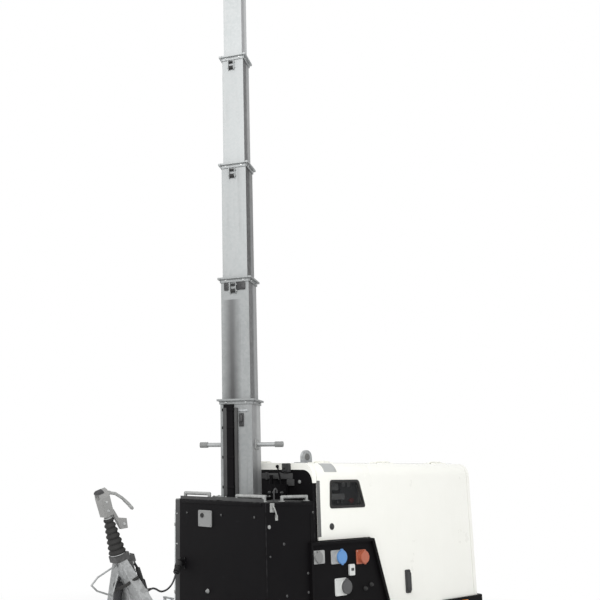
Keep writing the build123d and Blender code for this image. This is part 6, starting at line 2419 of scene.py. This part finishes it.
@dataclass(frozen=True)
class Studio:
    """Pale floor, soft lights and the camera at the photograph's viewing angle."""

    camera_at: Vector = (4.159, 4.966, 1.743)
    yaw: float = math.radians(52.55)
    pitch: float = math.radians(11.731)
    focal_px: float = 810.98
    centre_px: float = 182.7
    frame_px: float = 600.0
    sensor: float = 36.0
    floor_size: float = 60.0
    floor_near: float = 3.0
    floor_far: float = 6.0
    world_strength: float = 0.67

    def camera(self, front: float) -> None:
        """Makes the camera, looking back and to the right, a little upwards.

        Args:
            front: Where the housing's front face is along x.
        """
        data = bpy.data.cameras.new("camera")
        data.sensor_width = self.sensor
        data.lens = self.focal_px / self.frame_px * self.sensor
        data.shift_x = 0.5 - self.centre_px / self.frame_px
        data.clip_end = 200.0
        camera = bpy.data.objects.new("camera", data)
        bpy.context.scene.collection.objects.link(camera)
        camera.location = (front + self.camera_at[0], *self.camera_at[1:])
        camera.rotation_euler = (math.pi / 2 + self.pitch, 0.0, math.pi / 2 + self.yaw)
        bpy.context.scene.camera = camera

    def _direct(self, bench: NodeBench) -> Socket:
        """One for rays that the eye follows: from the camera, off gloss and through glass.

        Args:
            bench: The node bench to build on.

        Returns:
            The socket that carries the result.
        """
        ray = bench.add("LightPath")
        seen = bench.maths("MAXIMUM", ray.outputs["Is Camera Ray"], ray.outputs["Is Glossy Ray"])
        return bench.maths("MAXIMUM", seen, ray.outputs["Is Transmission Ray"])

    def world(self) -> None:
        """A plain white surround: soft light on the object, and pure white behind it."""
        world = bpy.data.worlds.new("studio")
        world.use_nodes = True
        tree = world.node_tree
        plain = tree.nodes["Background"]
        plain.inputs["Color"].default_value = (0.98, 0.99, 1.0, 1.0)
        plain.inputs["Strength"].default_value = self.world_strength
        bench = NodeBench(tree)
        white = bench.add("Background", {"Color": (1.0, 1.0, 1.0), "Strength": 1.0})
        mixed = bench.add("MixShader", {0: self._direct(bench), 1: plain.outputs[0], 2: white.outputs[0]})
        tree.links.new(mixed.outputs[0], tree.nodes["World Output"].inputs["Surface"])
        bpy.context.scene.world = world

    def floor(self) -> None:
        """A wide pale floor that keeps the object's shadow near it, and is plain white to the camera further out."""
        half = self.floor_size / 2
        mesh = bpy.data.meshes.new("floor")
        mesh.from_pydata([(-half, -half, 0), (half, -half, 0), (half, half, 0), (-half, half, 0)], [],
                         [(0, 1, 2, 3)])
        floor = bpy.data.objects.new("floor", mesh)
        bpy.context.scene.collection.objects.link(floor)
        material = bpy.data.materials.new("floor_pale")
        material.use_nodes = True
        tree = material.node_tree
        bench = NodeBench(tree)
        shader = tree.nodes["Principled BSDF"]
        place = bench.place()
        colour = bench.mix(bench.span(bench.noise(place, 3.0, 4.0), 0.3, 0.7), (0.9, 0.9, 0.9), (0.94, 0.94, 0.94))
        bench.feed(colour, shader.inputs["Base Color"])
        shader.inputs["Roughness"].default_value = 0.9
        shader.inputs["Specular IOR Level"].default_value = 0.1
        white = bench.add("Emission", {"Color": (1.0, 1.0, 1.0), "Strength": 1.0})
        flat = bench.add("VectorMath", {0: place}, operation="LENGTH").outputs["Value"]
        far = bench.span(flat, self.floor_near, self.floor_far)
        mixed = bench.add("MixShader", {0: bench.maths("MULTIPLY", far, self._direct(bench)), 1: shader.outputs[0],
                                        2: white.outputs[0]})
        tree.links.new(mixed.outputs[0], tree.nodes["Material Output"].inputs["Surface"])
        mesh.materials.append(material)

    def lights(self) -> None:
        """A large key light from the front left, and a weaker fill from the right."""
        for name, place, turn, size, power in (
                ("key", (7.0, 5.5, 7.5), (math.radians(50), 0.0, math.radians(128)), 5.0, 640.0),
                ("fill", (3.0, -8.0, 6.0), (math.radians(55), 0.0, math.radians(20)), 6.0, 190.0)):
            data = bpy.data.lights.new(name, "AREA")
            data.size = size
            data.energy = power
            lamp = bpy.data.objects.new(name, data)
            lamp.location = place
            lamp.rotation_euler = turn
            bpy.context.scene.collection.objects.link(lamp)

    def set_up(self, front: float) -> None:
        """Builds the whole studio.

        Args:
            front: Where the body's front is, along x.
        """
        self.camera(front)
        self.world()
        self.floor()
        self.lights()
        bpy.context.scene.view_settings.view_transform = "Standard"


@dataclass
class Coats:
    """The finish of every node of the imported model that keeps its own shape."""

    by_finish: dict[Finish, Sequence[str]] = field(default_factory=lambda: {
        RAIL_GREY: ("grab_rails",),
        LEG_GREY: ("drawbar_frame",),
        RING_GREY: ("mast_base",),
        GALVANISED: ("chassis_frame", "axle", "lifting_frame", "jockey_tube", "jockey_leg", "jockey_fork",
                     "mudguards", "lamp_head", *(f"outrigger_{part}_{corner}" for part in ("arm", "leg")
                                                 for corner in ("fl", "fr", "rl", "rr"))),
        HOUSING_BLACK: ("mast_housing",),
        BLACK_COAT: ("base_tray", "front_wall", "socket_panel", "rear_bumper", "cable_duct", "housing_fittings"),
        WHITE_SHELL: ("canopy_shell", "door_left", "door_right"),
        BLACK_PLASTIC: ("rear_grille", "brake_lever"),
        GREY_PLASTIC: ("sockets",),
        PANEL_GREY: ("control_panel",),
        ENGINE_PAINT: ("engine_block",),
        TINTED: ("window_pane",),
        RED_LENS: ("rear_lamps",),
        RIM_PAINT: ("rim_left", "rim_right"),
        TYRE: ("tyre_left", "tyre_right", "jockey_wheel"),
        RUBBER: ("bellows", "lead"),
        CAST_ZINC: ("coupling_head",),
        DULL_ZINC: ("coupling_handle",),
        CAST_GREY: ("overrun_housing",),
        LAMP_BLACK: tuple(f"floodlight_{index}" for index in range(1, 5)),
    })

    def apply(self, frame: dict) -> None:
        """Dresses every node.
        """
        for finish, nodes in self.by_finish.items():
            for node in nodes:
                dress(frame, node, finish)


def main() -> None:
    """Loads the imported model, dresses it, adds the fittings and sets up the studio."""
    logging.basicConfig(level=logging.INFO, format="%(name)s %(message)s")
    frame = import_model()
    front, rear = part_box("mast_housing")[1].x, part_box("canopy_shell")[0].x
    foot, axle, jockey = (tuple(sum(corner[k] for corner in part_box(node)) / 2 for k in range(3))
                          for node in ("mast_base", "tyre_left", "jockey_wheel"))
    mast = turned_about_z((foot[0], 0.0, 0.0), MAST_TURN)
    Studio().set_up(front)
    drawbar = Drawbar(raised_about_y((front + HINGE_AHEAD, 0.0, HINGE_HEIGHT), DRAWBAR_RAISE), front)
    drawbar.lead()
    Coats().apply(frame)
    Mast(mast).build(frame)
    Floodlights(mast).build()
    Housing(front).fit()
    Canopy(front).fit()
    SocketPanel(front).build()
    RunningGear((axle[0], axle[2]), jockey).build()
    Chassis(front, rear).build()
    drawbar.fit()
    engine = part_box("engine_block")
    PowerPack(front, engine[0].x, engine[1].x).build()


if __name__ == "__main__":
    main()
